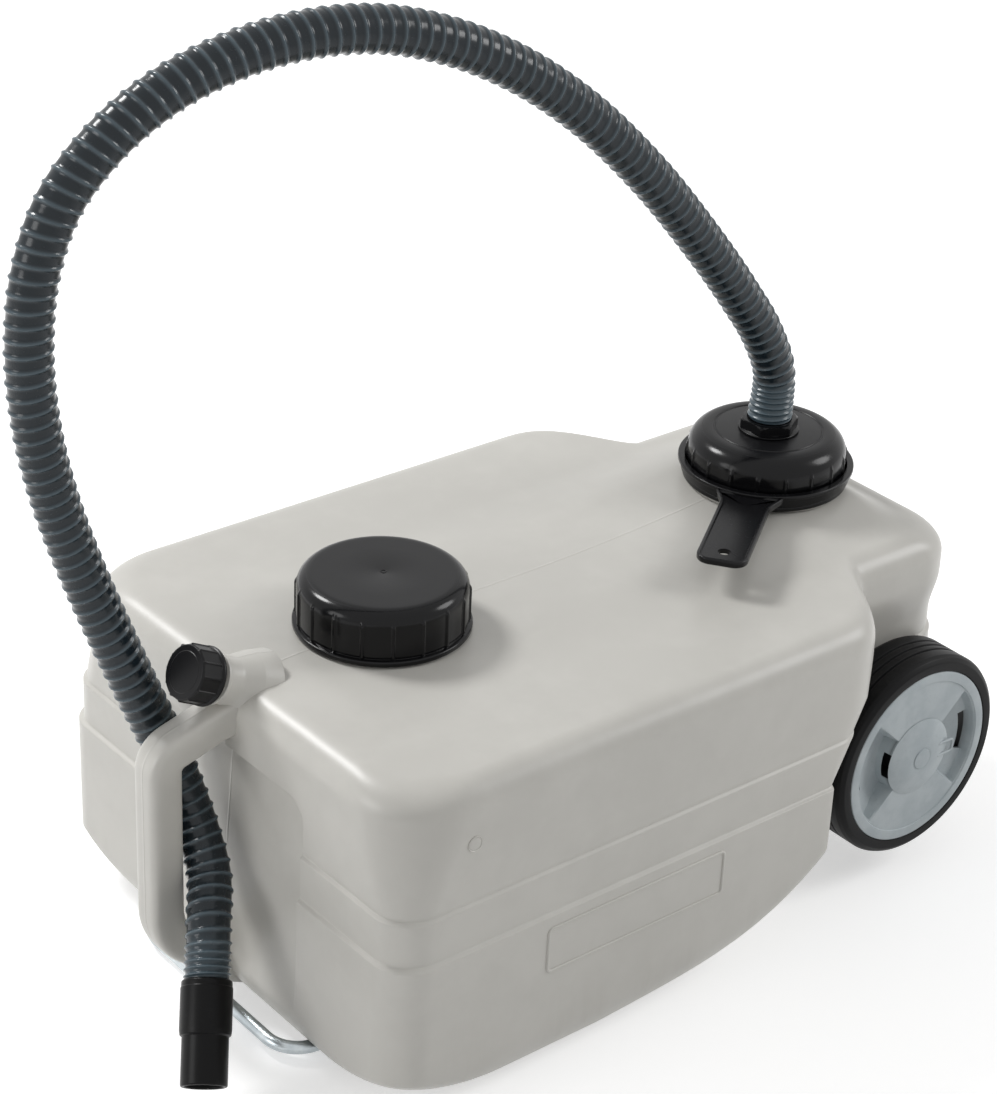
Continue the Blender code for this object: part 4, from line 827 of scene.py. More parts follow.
def recessed(x, y, z):
    # the wall behind the grip stands back: its depth grows up to the break line, then leans a little more
    s = tank
    rise = ramp(s["belly"], s["recessBreak"], z)
    lean = ramp(s["recessBreak"], s["recessTop"], z)
    back = s["front"] + s["recess"] * rise + s["recessLean"] * lean
    overY = np.abs(y) - (s["recessHalf"] - s["recessCorner"])
    overZ = z - (s["recessTop"] - s["recessCorner"])
    outside = np.hypot(np.maximum(overY, 0), np.maximum(overZ, 0)) + np.minimum(np.maximum(overY, overZ), 0)
    mask = 1 - ease(*s["recessEdge"], outside - s["recessCorner"])
    return between(x, np.maximum(x, back), mask * (x < s["front"] + s["recessDeep"]))


def bellyHeight(x, y):  # flat in front, rising to the tail, and sooner along the sides
    s = tank
    middle = ease(s["bellyFlatEnd"], s["bellyRiseEnd"], x)
    run = ramp(s["chineStart"], s["chineEnd"], x)
    side = between(run**4, run, s["chineLead"])
    toSide = ease(0, s["chineSpread"], np.abs(y) / s["wide"] - s["chineInner"])
    return s["tailFloor"] * between(middle, side, toSide)


def crownHeight(x, y):
    # over the top's edge: level along it, higher along the middle and under the hose cap
    s = tank
    edge = wallInset(np.array(sideTop)) + s["shoulder"]
    climb = ramp(*s["climb"], x) ** 2
    toSide = ease(*s["crownSide"], np.abs(y))
    toFront = ease(0, s["crownFront"], s["front"] + edge + s["crownFront"] - x)
    toRear = ease(0, s["crownRear"], x - s["rear"] + edge + s["crownRear"])
    return (s["crown"] + s["crownRise"] * climb) * (1 - toSide) * (1 - toFront) * (1 - toRear)


def tankShell():
    s = tank
    ledge, crease, recess = s["ledgeAt"], s["creaseAt"], s["recessTop"]
    quarter = np.linspace(0, math.pi / 2, 15)
    spans = [  # first and last height and how many rows, close together at each turn of the wall
        (s["belly"], ledge - 0.003, 21), (ledge - 0.002, ledge + 0.002, 11),
        (ledge + 0.003, crease - 0.003, 7), (crease - 0.002, crease + 0.002, 11),
        (crease + 0.003, recess - 0.007, 8), (recess - 0.006, recess + 0.002, 17),
        (recess + 0.004, sideTop - 0.002, 7),
    ]
    wallZ = joined(*(np.linspace(*span) for span in spans))
    deepest = wallInset(np.array(sideTop))
    closing = np.linspace(0, 1, s["fillRows"])[1:]
    # bands of height, inset and how far a row closes towards a line along the middle
    z, inset, fill = (rows[:, None] for rows in inBands([
        (0.0, s["belly"], closing[::-1]),
        (s["belly"] * (1 - np.cos(quarter[:-1])), s["belly"] * (1 - np.sin(quarter[:-1])), 0.0),
        (wallZ, wallInset(wallZ), 0.0),
        (sideTop + s["shoulder"] * np.sin(quarter), deepest + s["shoulder"] * (1 - np.cos(quarter)), 0.0),
        (s["top"], deepest + s["shoulder"], closing),
    ]))
    x, y = tankOutline(z, inset)
    z = z + 0 * x
    x = recessed(x, y, z)
    fromFront, fromRear = s["middleEnds"]
    x = between(x, np.clip(x, s["front"] + fromFront, s["rear"] - fromRear), fill)
    y = y * (1 - fill)
    low = bellyHeight(x, y)
    crowned = z + crownHeight(x, y) * (z >= s["top"] - 1e-9)
    z = np.where(z <= ledge, low + z * (1 - low / ledge), crowned)
    return shape(columns(x, y, z), gridFaces(*x.shape))


grip = {
    "corners": [
        (-0.2080, 0.2038), (-0.2690, 0.1865), (-0.2690, 0.0640), (-0.2230, 0.0236), (-0.2000, 0.0150),
    ],
    "bends": (0.0130, 0.0380, 0.0200),
    "radius": 0.0110,
    "squareness": 5.0,
    "topFlare": 0.16,
    "lowFlare": 0.10,
    "flareLength": (0.006, 0.026),
    "rings": 170,
    "sides": 64,
}


def gripShape(s):
    # a bar with a rounded square section, (|u|^n + |v|^n)^(1/n) = radius, wider where it meets the shell
    path = rounded([(x, 0.0, z) for x, z in s["corners"]], s["bends"], 24)
    along = arcLengths(path)
    places = np.linspace(0, along[-1], s["rings"])
    cosine, sine = roundSection(1.0, s["sides"]).T
    power = s["squareness"]
    radius = s["radius"] / (np.abs(cosine) ** power + np.abs(sine) ** power) ** (1 / power)
    section = columns(radius * cosine, radius * sine)
    top = s["topFlare"] * (1 - ease(*s["flareLength"], places))
    low = s["lowFlare"] * (1 - ease(*s["flareLength"], along[-1] - places))
    return swept(readLine(places, along, path), section, (0, 1, 0), grow=1 + top + low)


necks = {
    "radius": 0.0468,
    "wall": 0.0042,
    "thread": 0.0007,
    "threadWidth": 0.0011,
    "threadStarts": (0.004, 0.007),
    "threadEnds": (0.004, 0.002),
    "pitch": 0.0060,
    "fillerHeight": 0.0242,
    "hoseHeight": 0.0211,
    "sunk": 0.0010,
    "foot": 0.0040,
    "boreDepth": 0.090,
    "vent": [
        (0.0107, -0.0400, 0), (0.0107, 0.0127, 0.0006), (0.0135, 0.0127, 0.0008),
        (0.0135, -0.0030, 0.0004), (0.0157, -0.0036, 0.0005), (0.0157, -0.0056, 0.0005),
        (0.0143, -0.0068, 0.0010), (0.0147, -0.0160, 0.008), (0.0195, -0.0280, 0.006),
        (0.0225, -0.0400, 0.0), (0.0107, -0.0400, 0),
    ],
}


def neckShape(centre, height, s):
    # a screw neck on a low foot that reaches into the shell; its thread climbs one pitch in each turn
    outer, inner = s["radius"], s["radius"] - s["wall"]
    root = tank["top"] - s["sunk"] - centre[2]
    core, foot = outer - s["thread"], outer + s["foot"]
    rows = [
        (inner, root, 0), (inner, height, 0.0010), (core, height, 0.0010), (core, 0.0022, 0.0008),
        (outer + 0.0012, 0.0008, 0.002), (foot, -0.0006, 0.0), (foot, root, 0.0), (inner, root, 0),
    ]
    profile = roundedRows(rows, 4)
    # the thread's wall goes in between the arc under the top and the one above the foot
    cut = int(np.argmax((profile[:, 0] > core - 1e-6) & (profile[:, 1] < height - 0.0008)))
    profile = joined(profile[:cut], uprightLine(core, height - 0.002, 0.0040, 30), profile[cut:-1])

    def thread(angle, radius, tall):
        offset = fromWhole(tall / s["pitch"] - angle / (2 * math.pi)) * s["pitch"]
        crest = np.exp(-((offset / s["threadWidth"]) ** 2))
        fades = 1 - ease(*(height - below for below in s["threadEnds"]), tall)
        window = ease(*s["threadStarts"], tall) * fades
        return radius + s["thread"] * crest * window * (radius > outer - 0.002), tall

    return revolved(profile, 180, centre, change=thread)


marks = {
    "frame": (-0.1200, 0.0160, 0.0760, 0.1060),
    "frameCorner": 0.0030,
    "line": 0.0010,
    "dot": (-0.1740, 0.1840),
    "ring": [
        (0.0, -0.0008, 0), (0.0, 0.0004, 0.0), (0.0038, 0.0004, 0.0003), (0.0042, 0.0001, 0.0002),
        (0.0046, 0.0006, 0.0002), (0.0050, 0.0006, 0.0003), (0.0050, -0.0008, 0.0), (0.0, -0.0008, 0),
    ],
}


def markShapes(s):
    # a raised border round a bare place, and a small ring, both on the near side's wall
    left, right, low, high = s["frame"]
    loop = [(left, low), (right, low), (right, high), (left, high)]
    middle = [((left + right) / 2, low)]
    path = rounded(middle + loop[1:] + loop[:1] + middle, [s["frameCorner"]] * 4, 8)[:-1]
    path = columns(path[:, 0], 0 * path[:, 0] - tank["wide"], path[:, 1])
    frame = swept(path, roundSection(s["line"], 10), (0, 1, 0), True)
    dotX, dotZ = s["dot"]
    centre = (dotX, float(wallInset(np.array(dotZ))) + 0.0001 - tank["wide"], dotZ)
    return [frame, revolved(roundedRows(s["ring"], 3), 48, centre, (0, -1, 0), closed=False)]


under = {
    "channelY": 0.0810,
    "channelHalf": 0.0070,
    "channelTop": 0.0145,
    "channelEnd": 0.0820,
    "guides": (-0.1560, 0.0600),
    "guideHalf": (0.0083, 0.0203),
    "pocketTop": 0.0035,
    "axleSlot": 0.0060,
    "slotHalf": 0.20,
    "slotLow": 0.02,
    "beyond": 0.01,
}


def makeTank():
    body = makePiece("tankShell", [tankShell()], greyPlastic)
    u = under
    channels, pockets = [], []
    for side in (-1, 1):
        y = side * u["channelY"]
        low = (tank["front"] - u["beyond"], y - u["channelHalf"], -u["beyond"])
        channels.append(boxShape(low, (u["channelEnd"], y + u["channelHalf"], u["channelTop"])))
        for x in u["guides"]:
            along, across = u["guideHalf"]
            low = (x - along, y - across, -u["beyond"])
            pockets.append(boxShape(low, (x + along, y + across, u["pocketTop"])))
    slot, half, slotLow = u["axleSlot"], u["slotHalf"], u["slotLow"]
    x, z = wheelCentre
    channels.append(boxShape((x - slot, -half, slotLow), (x + slot, half, z + slot)))
    bore = necks["radius"] - necks["wall"] + 0.0002
    for x, y, z in (fillerCentre, hoseCapCentre):
        pockets.append(cylinderShape(bore, (x, y, z - necks["boreDepth"]), (x, y, z + 0.02), 96))
    cutters = {"channels": channels, "pockets": pockets}
    carve(body, [makePiece(name, shapes, greyPlastic) for name, shapes in cutters.items()])
    extras = [gripShape(grip), revolved(roundedRows(necks["vent"], 5)[:-1], 96, ventBase, ventAxis)]
    extras.append(neckShape(fillerCentre, necks["fillerHeight"], necks))
    extras.append(neckShape(hoseCapCentre, necks["hoseHeight"], necks))
    mouldings = makePiece("tankMouldings", extras + markShapes(marks), greyPlastic, 45.0)
    for piece in (body, mouldings):
        place(piece, "tank", "tank_plastic", "tank_body")


makeTank()
print("stage: tank made")

caps = {
    "radius": 0.0514,
    "bore": 0.0480,
    "height": 0.0340,
    "fillerEdge": 0.0090,
    "hoseEdge": 0.0135,
    "lip": 0.0024,
    "lipHeight": 0.0034,
    "ribs": 18,
    "ribProud": 0.0011,
    "ribHalf": 0.0011,
    "ribSides": (0.45, 1.35),
    "ribFoot": 0.0012,
    "ribTop": 0.0042,
    "sealInner": 0.0402,
    "topWall": 0.0028,
    "hoseHole": 0.0143,
    "steps": 540,
    "fillerTop": [
        (0.0, 0.0339, 0), (0.0011, 0.0339, 0.0001), (0.0013, 0.0335, 0.0002), (0.0019, 0.0335, 0.0002),
        (0.0022, 0.0340, 0.0002), (0.0300, 0.0340, 0.0), (0.0400, 0.0340, 0),
    ],
    "hoseTop": [
        (0.0143, 0.0340, 0), (0.0340, 0.0340, 0.0002), (0.0345, 0.0334, 0.0002), (0.0355, 0.0334, 0.0002),
        (0.0361, 0.0340, 0.0003), (0.0374, 0.0340, 0),
    ],
}


def capShape(s, centre, edge, hole, topRows):
    # flat top, round edge, skirt with upright ribs, lip below; inside a bore and the seal's seat
    top, skirt, bore, lip = s["height"], s["radius"], s["bore"], s["lipHeight"]
    arc = np.linspace(math.pi / 2, 0, 16)[:, None]
    edgeLine = joined(skirt - edge * (1 - np.cos(arc)), top - edge * (1 - np.sin(arc)), axis=1)
    wall = uprightLine(skirt, top - edge - 0.0006, lip + 0.0016, 14)
    # the seat is as far below the round edge as the bore's wall is thick
    seat = top - edge * (1 - math.sin(math.acos(1 - (skirt - bore) / edge))) - (skirt - bore)
    inside = top - s["topWall"]
    lipRows = [
        (skirt, lip + 0.0016, 0), (skirt - 0.0004, lip + 0.0006, 0.0003), (skirt + s["lip"], lip, 0.0010),
        (skirt + s["lip"], 0.0003, 0.0006), (bore, 0.0003, 0), (bore, seat, 0), (s["sealInner"], seat, 0),
        (s["sealInner"], inside, 0), (hole, inside, 0),
    ]
    profile = joined(roundedRows(topRows, 3), edgeLine, wall, roundedRows(lipRows, 4))
    pitch = 2 * math.pi / s["ribs"]

    def rib(angle, radius, tall):
        offset = np.abs(fromWhole(angle / pitch) * pitch * skirt)
        crest = 1 - ease(*s["ribSides"], offset / s["ribHalf"])
        ends = ease(lip, lip + s["ribFoot"], tall) * (1 - ease(top - edge, top - edge + s["ribTop"], tall))
        onWall = (radius > skirt - 0.0025) & (radius < skirt + 0.0002)
        return radius + s["ribProud"] * crest * ends * onWall, tall

    return revolved(profile, s["steps"], centre, closed=hole > 0, change=rib)


def makeCaps(s):
    flat = capShape(s, fillerCentre, s["fillerEdge"], 0.0, s["fillerTop"])
    place(makePiece("fillerCap", [flat], fillerBlack), "filler_cap", "black_plastic", "filler_cap")
    domed = capShape(s, hoseCapCentre, s["hoseEdge"], s["hoseHole"], s["hoseTop"])
    place(makePiece("hoseCap", [domed], hoseCapBlack), "hose_cap", "black_plastic", "hose_cap")


makeCaps(caps)

ventCap = {
    "radius": 0.0168,
    "panelFrom": (0.0026, 0.0034),
    "panelTo": (0.0163, 0.0173),
    "panels": 12,
    "ribProud": 0.0005,
    "ribEdge": (0.0003, 0.0008),
    "profile": [
        (0.0, 0.0175, 0), (0.0120, 0.0175, 0.0002), (0.0124, 0.0172, 0.0002),
        (0.0156, 0.0172, 0.0006), (0.0168, 0.0160, 0.0008), (0.0168, 0.0034, 0.0004),
        (0.0165, 0.0026, 0.0003), (0.0176, 0.0020, 0.0005), (0.0176, 0.0001, 0.0006),
        (0.0141, 0.0001, 0.0003), (0.0141, 0.0149, 0), (0.0, 0.0149, 0),
    ],
}


def makeVentCap(s):
    # twelve flat panels: the radius is the panel's distance over the cosine of the angle from its middle
    pitch = 2 * math.pi / s["panels"]

    def panels(angle, radius, tall):
        offset = fromWhole(angle / pitch) * pitch
        flat = math.cos(pitch / 2) / np.cos(offset)
        onSide = radius > s["radius"] - 0.0010
        side = ease(*s["panelFrom"], tall) * (1 - ease(*s["panelTo"], tall)) * onSide
        fromCorner = np.abs(np.abs(offset) - pitch / 2) * s["radius"]
        rib = s["ribProud"] * (1 - ease(*s["ribEdge"], fromCorner))
        return radius * between(1.0, flat, side) + rib * side, tall

    turned = revolved(roundedRows(s["profile"], 4), 288, ventBase, ventAxis, closed=False, change=panels)
    place(makePiece("ventCap", [turned], ventBlack), "vent_cap", "black_plastic", "vent_cap")


makeVentCap(ventCap)

nut = {
    "across": 0.0388,
    "height": 0.0080,
    "base": 0.2653,
    "bore": 0.0143,
    "foot": 0.0197,
    "footHeight": 0.0012,
    "cornerCut": 0.0003,
    "topRadius": 0.0158,
    "chamferFrom": 0.0172,
    "chamferSlope": 1.6,
}


def makeNut(s):
    # six flats under a turned chamfer, on a round foot
    inner = s["across"] / 2 * math.cos(math.pi / 6)
    pitch = math.pi / 3
    top, bore, foot = s["height"], s["bore"], s["footHeight"]
    rows = [
        (bore, 0.0, 0), (s["foot"], 0.0, 0.0002), (s["foot"], foot, 0.0003), (inner, foot + 0.0002, 0.0003),
        (inner, top - 0.0002, 0.0), (s["topRadius"], top, 0.0002), (bore, top, 0.0005), (bore, 0.0, 0),
    ]
    profile = roundedRows(rows, 3)
    # the flats' straight line goes in between the arc above the foot and the one under the top
    cut = int(np.argmax((profile[:, 0] <= inner + 1e-6) & (profile[:, 1] > foot + 0.0001))) + 1
    profile = joined(profile[:cut], uprightLine(inner, 0.0016, top - 0.0004, 10), profile[cut:-1])

    def flats(angle, radius, tall):
        offset = fromWhole(angle / pitch) * pitch
        corner = np.minimum(np.abs(inner / np.cos(offset)), s["across"] / 2 - s["cornerCut"])
        hexagon = np.minimum(corner, s["chamferFrom"] + (top - tall) * s["chamferSlope"])
        side = (np.abs(radius - inner) < 0.0001) & (tall > foot)
        return np.where(side, hexagon, radius), tall

    turned = revolved(profile, 180, (hoseCapCentre[0], 0.0, s["base"]), change=flats)
    place(makePiece("glandNut", [turned], nutBlack, 25.0), "hose_gland", "black_plastic", "gland_nut")


makeNut(nut)

wrench = {
    "bore": 0.0526,
    "wall": 0.0024,
    "lip": 0.0022,
    "lipHeight": 0.0026,
    "low": 0.0039,
    "height": 0.0090,
    "angle": 215.5,
    "reach": 0.1480,
    "half": 0.0160,
    "thickness": 0.0044,
    "sunk": 0.0008,
    "corner": 0.0090,
    "neck": 0.0100,
    "flare": 0.0060,
    "flareEnds": 0.004,
    "rim": 0.0020,
    "recess": 0.0011,
    "middleEnds": 0.016,
    "hole": 0.0040,
    "holeFromEnd": 0.0140,
    "cutterHeights": (0.22, 0.26),
}


def paddleShape(s, top):
    # outlines of the paddle moved inwards by a distance, at heights that give a rim round a sunk face
    root = s["bore"] + s["wall"] / 2
    neck = s["bore"] + s["wall"] + s["lip"] + s["neck"]
    reach, half, corner, rim = s["reach"], s["half"], s["corner"], s["rim"]
    run = np.linspace(root, reach - corner, 60)
    side = half + s["flare"] * (1 - ease(root - s["flareEnds"], neck + s["flareEnds"], run))
    turn = np.linspace(0, math.pi / 2, 13)[1:]
    end = np.linspace(1, 0, 8)[1:-1] * (half - corner)
    rootY = np.linspace(0, 1, 9)[:-1] * side[0]
    x = joined(0 * rootY + root, run, reach - corner * (1 - np.sin(turn)), 0 * end + reach)
    y = joined(rootY, side, half - corner * (1 - np.cos(turn)), end)
    line = columns(joined(x, [reach], x[:0:-1]), joined(y, [0.0], -y[:0:-1]))
    tangent = unit(np.roll(line, -1, 0) - np.roll(line, 1, 0))
    base, floor = top - s["thickness"], top - s["recess"]
    # rows of inset, height and how far the outline closes towards a line along the middle
    rows = [(0.0009, base, fill) for fill in (1.0, 0.66, 0.33, 0.0)]
    rows += [(0.0003, base + 0.0003, 0), (0.0, base + 0.0009, 0), (0.0, top - 0.0008, 0)]
    rows += [(0.0002, top - 0.0003, 0), (0.0007, top, 0), (rim, top, 0)]
    rows += [(rim + 0.0003, top - 0.0003, 0), (rim + 0.0007, floor, 0)]
    rows += [(rim + 0.0011, floor, fill) for fill in (0.0, 0.2, 0.4, 0.6, 0.8, 1.0)]
    inset, tall, fill = (column[:, None] for column in np.array(rows).T)
    x = line[None, :, 0] + tangent[None, :, 1] * inset
    y = line[None, :, 1] - tangent[None, :, 0] * inset
    x = between(x, np.clip(x, root + s["middleEnds"], reach - s["middleEnds"]), fill)
    return x, y * (1 - fill), tall + 0 * x


def makeWrench(s):
    # a turned band with a lip, and the paddle turned about the hose cap's axis and cut out of its bore
    bore, outer, low = s["bore"], s["bore"] + s["wall"], s["low"]
    high, lip = low + s["height"], outer + s["lip"]
    middle = ((bore + lip) / 2, high, 0)
    rows = [
        middle, (lip, high, 0.0007), (lip, high - s["lipHeight"], 0.0006),
        (outer, high - s["lipHeight"] - 0.001, 0.0008), (outer, low, 0.0005), (bore, low, 0.0005),
        (bore, high, 0.0005), middle,
    ]
    ring = revolved(roundedRows(rows, 4)[:-1], 240, hoseCapCentre)
    x, y, z = paddleShape(s, high - s["sunk"])
    turn = math.radians(s["angle"])
    cosine, sine = math.cos(turn), math.sin(turn)
    turned = columns(hoseCapCentre[0] + x * cosine - y * sine, x * sine + y * cosine, hoseCapCentre[2] + z)
    paddle = makePiece("wrenchPaddle", [shape(turned, gridFaces(*x.shape))], wrenchBlack)
    reach = s["reach"] - s["holeFromEnd"]
    cutters = []
    for name, radius, x, y, steps in (
        ("holeCutter", s["hole"], hoseCapCentre[0] + reach * cosine, reach * sine, 48),
        ("boreCutter", bore + 0.0002, hoseCapCentre[0], 0.0, 120),
    ):
        start, end = ((x, y, z) for z in s["cutterHeights"])
        cutters.append(makePiece(name, [cylinderShape(radius, start, end, steps)], wrenchBlack))
    carve(paddle, cutters)
    for piece in (makePiece("wrenchBand", [ring], wrenchBlack), paddle):
        place(piece, "cap_wrench", "black_plastic", "cap_wrench")


makeWrench(wrench)
print("stage: caps, nut and wrench made")

wheel = {
    "inner": 0.1138,
    "width": 0.0380,
    "tyre": 0.0705,
    "rim": 0.0602,
    "well": 0.0560,
    "lip": 0.0030,
    "tyreGap": 0.0003,
    "shoulder": ((0.0040, 0.0), (0.0013, 0.0020), (0.0, 0.0045)),
    "grooves": (-0.00625, 0.0, 0.00625),
    "grooveHalf": 0.0011,
    "grooveDepth": 0.0015,
    "barrel": 0.0525,
    "hubRadius": 0.0110,
    "boreRadius": 0.00515,
    "hubSink": 0.0045,
    "face": ((0.0115, 0.0240, 8), (0.0246, 0.0500, 44), (0.0503, 0.0532, 10)),
    "faceSink": 0.0008,
    "pocketHalf": 42.0,
    "pocketFrom": 0.0262,
    "pocketTo": 0.0522,
    "pocketEdge": (-0.0004, 0.0014),
    "pocketDepth": 0.0115,
    "pocketShallow": 0.0070,
    "pocketSlope": (0.030, 0.052),
    "web": 0.0028,
    # a slot's half angle, inner and outer radius, and how far under the rim it starts and ends
    "slots": ((17.0, 0.0452, 0.0515, 0.0040, 0.0200), (20.0, 0.0190, 0.0268, 0.0004, 0.0132)),
    "cap": [
        (0.0, 0.0046, 0), (0.0068, 0.0046, 0.0003), (0.0070, 0.0038, 0.0002), (0.0076, 0.0038, 0),
    ],
    "capRadius": 0.0270,
    "dome": (0.0039, 0.0002),
    "capInside": [
        (0.0270, 0.0003), (0.0264, 0.0003), (0.0131, 0.0003), (0.0131, -0.0065), (0.0113, -0.0065),
        (0.0113, 0.0003), (0.0, 0.0003),
    ],
    # the snap tab's inner and outer end, half width and how far it lies under the rim's face
    "clip": (0.0160, 0.0296, 0.0044, -0.0026),
    "clipBend": 0.0022,
    "clipWire": 0.0008,
}


def onAxle(s, side, out):  # a point on the axle's line, so far out from the wheel's inner face
    return wheelCentre[0], side * (s["inner"] + out), wheelCentre[1]


def tyreProfile(s):
    # a tread with grooves, rounded shoulders, and inside a seat that follows the rim's well
    half, tyre = s["width"] / 2, s["tyre"]
    gap, wide, deep = s["tyreGap"], s["grooveHalf"], tyre - s["grooveDepth"]
    lip, inner, seat = s["rim"] + gap, s["well"] + gap, half - s["lip"] - gap
    shoulder = [(tyre - inwards, half - down, 0.0020) for inwards, down in s["shoulder"]]
    start = [((lip + shoulder[0][0]) / 2, half, 0)]
    rows = start + shoulder
    for groove in reversed(s["grooves"]):
        rows += [(tyre, groove + wide, 0.0004), (deep, groove + wide * 0.5, 0.0004)]
        rows += [(deep, groove - wide * 0.5, 0.0004), (tyre, groove - wide, 0.0004)]
    rows += [(radius, -tall, bend) for radius, tall, bend in reversed(shoulder)]
    rows += [(lip, -half, 0.0006), (lip, -seat, 0), (inner, -seat, 0), (inner, seat, 0), (lip, seat, 0)]
    return roundedRows(rows + [(lip, half, 0.0006)] + start, 4)[:-1]


def rimShape(s, side):
    # the outer face sinks into two wide pockets left and right of the hub, whose floors slope outwards
    half, lip, rim, well, barrel = s["width"] / 2, s["lip"], s["rim"], s["well"], s["barrel"]
    hub, bore, sunk = s["hubRadius"], s["boreRadius"], s["width"] / 2 - s["hubSink"]
    face = half - s["faceSink"]
    faceEnd = s["face"][-1][1]
    faceR = joined(*(np.linspace(*run) for run in s["face"]))
    outside = [
        (faceEnd, face, 0), (faceEnd + 0.0004, half, 0.0004), (rim, half, 0.0008),
        (rim, half - lip, 0.0005), (well, half - lip, 0), (well, lip - half, 0),
        (rim, lip - half, 0), (rim, -half, 0.0006), (barrel, -half, 0),
    ]
    back = half - s["pocketDepth"] - s["web"]
    behind = [(barrel, back), (hub, back), (hub, -half), (bore, -half), (bore, sunk), (hub, sunk)]
    profile = joined(columns(faceR, 0 * faceR + face), roundedRows(outside, 4), behind)
    wide = math.radians(s["pocketHalf"])

    def pockets(angle, radius, tall):
        away = np.abs((angle + math.pi / 2) % math.pi - math.pi / 2)
        fromEnds = np.minimum(radius - s["pocketFrom"], s["pocketTo"] - radius)
        deep = ease(*s["pocketEdge"], np.minimum((wide - away) * radius, fromEnds))
        slope = between(s["pocketDepth"], s["pocketShallow"], ease(*s["pocketSlope"], radius))
        onFace = (np.abs(tall - face) < 1e-6) & (radius < faceEnd - 0.0001)
        return radius, np.where(onFace, tall - deep * (slope - s["faceSink"]), tall)

    return revolved(profile, 360, onAxle(s, side, half), (0, side, 0), change=pockets)


def sectorShape(s, side, middle, slot):  # a slot's cutter: a slice of a ring, from one depth to another
    half, inner, outer, shallow, deep = slot
    turn = math.radians(middle) + np.radians(np.linspace(-half, half, 13))
    turn = joined(turn, turn[::-1])
    radius = np.repeat([inner, outer], 13)
    loop = columns(radius * np.cos(turn), radius * np.sin(turn))
    centre = loop * 0 + loop.mean(0)
    plan = np.stack([centre, loop, loop, centre]) + wheelCentre
    depth = np.array([shallow, shallow, deep, deep])[:, None]
    y = side * (s["inner"] + s["width"] - depth) + 0 * plan[..., 0]
    return shape(columns(plan[..., 0], y, plan[..., 1]), gridFaces(4, len(loop)))


def hubCapShape(s, side):
    # round a small sunk disc a dome whose height is height x (1 - share of the radius cubed) + foot
    height, foot = s["dome"]
    share = np.linspace(0.30, 0.985, 16)
    dome = columns(s["capRadius"] * share, height * (1 - share**3) + foot)
    profile = joined(roundedRows(s["cap"], 4), dome, s["capInside"])
    return revolved(profile, 96, onAxle(s, side, s["width"] - s["faceSink"]), (0, side, 0), closed=False)


def clipShape(s, side):
    # the cap's snap tab: a loop that lies on the cap and stands out over the pocket
    near, far, half, sink = s["clip"]
    x, y, z = onAxle(s, side, s["width"] - s["faceSink"] - sink)
    loop = [(near, half), (far, half), (far, -half), (near, -half)]
    corners = [(x + run, y, z + rise) for run, rise in loop]
    return swept(rounded(corners, [s["clipBend"]] * 2, 8), roundSection(s["clipWire"], 12), (0, 1, 0))


def makeWheel(s, hand, side):
    body = f"wheel_{hand}"
    turned = revolved(tyreProfile(s), 160, onAxle(s, side, s["width"] / 2), (0, side, 0))
    tyre = makePiece(f"tyre_{hand}", [turned], tyreRubber)
    place(tyre, body, "tyre_rubber", f"tyre_{hand}")
    rim = makePiece(f"rim_{hand}", [rimShape(s, side)], rimPlastic, 30.0)
    slots = [sectorShape(s, side, middle, slot) for middle in (0.0, 180.0) for slot in s["slots"]]
    carve(rim, [makePiece("slotCutter", slots, rimPlastic)], 30.0)
    place(rim, body, "rim_plastic", f"wheel_rim_{hand}")
    hub = makePiece(f"hubCap_{hand}", [hubCapShape(s, side), clipShape(s, side)], rimPlastic, 30.0)
    place(hub, body, "rim_plastic", f"hub_cap_{hand}")


makeWheel(wheel, "right", -1)
makeWheel(wheel, "left", 1)
print("stage: wheels made")

towRod = {
    "radius": 0.0040,
    "z": 0.0075,
    "legY": 0.0810,
    "crossbar": -0.2345,
    "bend": 0.0220,
    "end": 0.0780,
    "sides": 32,
}


def makeTowRod(s):  # a round section swept along two legs and a crossbar with rounded corners
    legY, end, bar = s["legY"], s["end"], s["crossbar"]
    corners = [(x, y, s["z"]) for x, y in ((end, -legY), (bar, -legY), (bar, legY), (end, legY))]
    path = rounded(corners, [s["bend"]] * 2, 24)
    rod = makePiece("towRod", [swept(path, roundSection(s["radius"], s["sides"]), (0, 0, 1))], zincSteel)
    place(rod, "tow_handle", "zinc_steel", "tow_handle")


makeTowRod(towRod)

# The CAD's own small parts keep their shapes and get these finishes; the longest fitting start counts.
carriedFinishes = {
    "axle": zincSteel,
    "axle_spacer": nutBlack,
    "front_guide": zincSteel,
    "rear_guide": zincSteel,
    "lock_washer": zincSteel,
    "tow_handle_collar": zincSteel,
    "gland": nutBlack,
    "gland_washer": sealRubber,
    "filler_cap_seal": sealRubber,
    "hose_cap_seal": sealRubber,
    "vent_cap_seal": sealRubber,
}
for nodeName, node in frame["nodes"].items():
    fitting = [key for key in carriedFinishes if nodeName.startswith(key)]
    for number in range(len(node.data.materials) if fitting else 0):
        node.data.materials[number] = carriedFinishes[max(fitting, key=len)]
print("stage: carried parts finished")

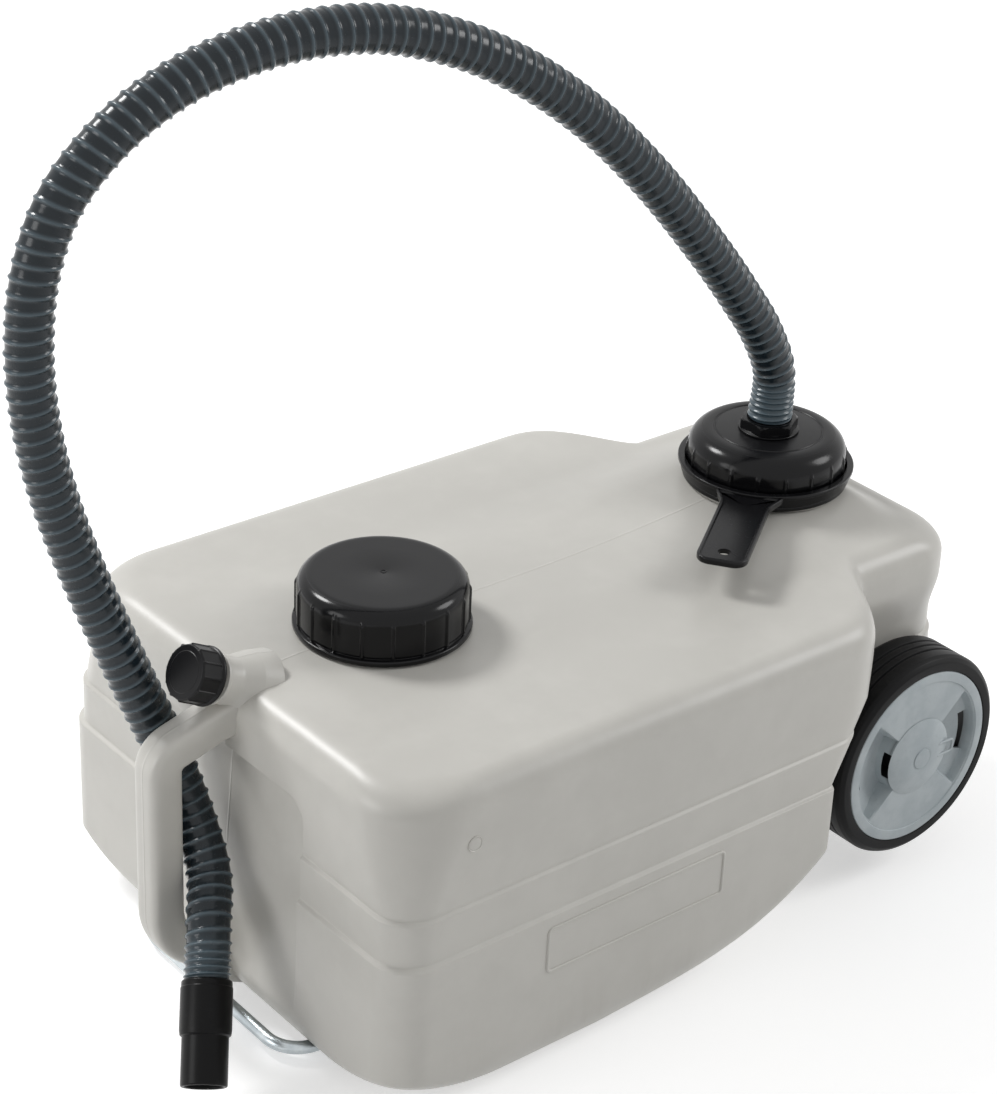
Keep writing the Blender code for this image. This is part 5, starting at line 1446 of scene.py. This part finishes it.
white = (1.0, 1.0, 1.0, 1.0)
stageSet = {
    "size": 9.0,
    "below": 0.0002,
    "floorColour": (0.80, 0.80, 0.80, 1.0),
    "floorGlow": 0.48,
    "worldLight": 0.40,
    "lamps": [
        # name, place, aim, width of the disk, watts
        ("keyLamp", (-0.7, 1.5, 1.9), (0.0, 0.0, 0.15), 0.65, 32.0),
        ("frontLamp", (-2.2, 0.4, 0.8), (-0.2, 0.0, 0.2), 1.0, 9.5),
        ("sideLamp", (2.1, -1.3, 1.7), (0.2, 0.0, 0.2), 1.2, 26.0),
    ],
}


def seen(nodes):  # 1 for rays that come straight from the camera, or by way of metal and glass
    rays = nodes.add("ShaderNodeLightPath", {}, {}).socket.node.outputs
    kinds = ("Camera", "Glossy", "Transmission")
    camera, glossy, through = (Wire(nodes, rays[f"Is {kind} Ray"]) for kind in kinds)
    return camera.maths("MAXIMUM", camera, glossy.maths("MAXIMUM", glossy, through))


def makeStage(s):
    half = s["size"] / 2
    floorZ = min(0.0, float(cadBounds[0][2])) - s["below"]
    mesh = bpy.data.meshes.new("floor")
    corners = [(x * half, y * half, floorZ) for x, y in ((-1, -1), (1, -1), (1, 1), (-1, 1))]
    mesh.from_pydata(corners, [], [(0, 1, 2, 3)])
    floor = bpy.data.objects.new("floor", mesh)
    bpy.context.scene.collection.objects.link(floor)
    made = Finish("paleFloor", Base_Color=s["floorColour"], Roughness=0.9, Emission_Color=white)
    made.feed("Emission Strength", seen(made) * s["floorGlow"])
    mesh.materials.append(made.material)
    world = bpy.data.worlds.new("paleWorld")
    world.use_nodes = True
    bpy.context.scene.world = world
    background = world.node_tree.nodes["Background"]
    background.inputs["Color"].default_value = white
    strength = between(s["worldLight"], 1.0, seen(Nodes(world.node_tree)))
    world.node_tree.links.new(strength.socket, background.inputs["Strength"])
    for name, at, aim, size, watts in s["lamps"]:
        lamp = bpy.data.lights.new(name, "AREA")
        lamp.shape = "DISK"
        lamp.size = size
        lamp.energy = watts
        holder = bpy.data.objects.new(name, lamp)
        holder.location = at
        holder.rotation_euler = (Vector(aim) - Vector(at)).to_track_quat("-Z", "Y").to_euler()
        bpy.context.scene.collection.objects.link(holder)


makeStage(stageSet)
bpy.context.scene.view_settings.view_transform = "Standard"
print("stage: floor and lamps set")
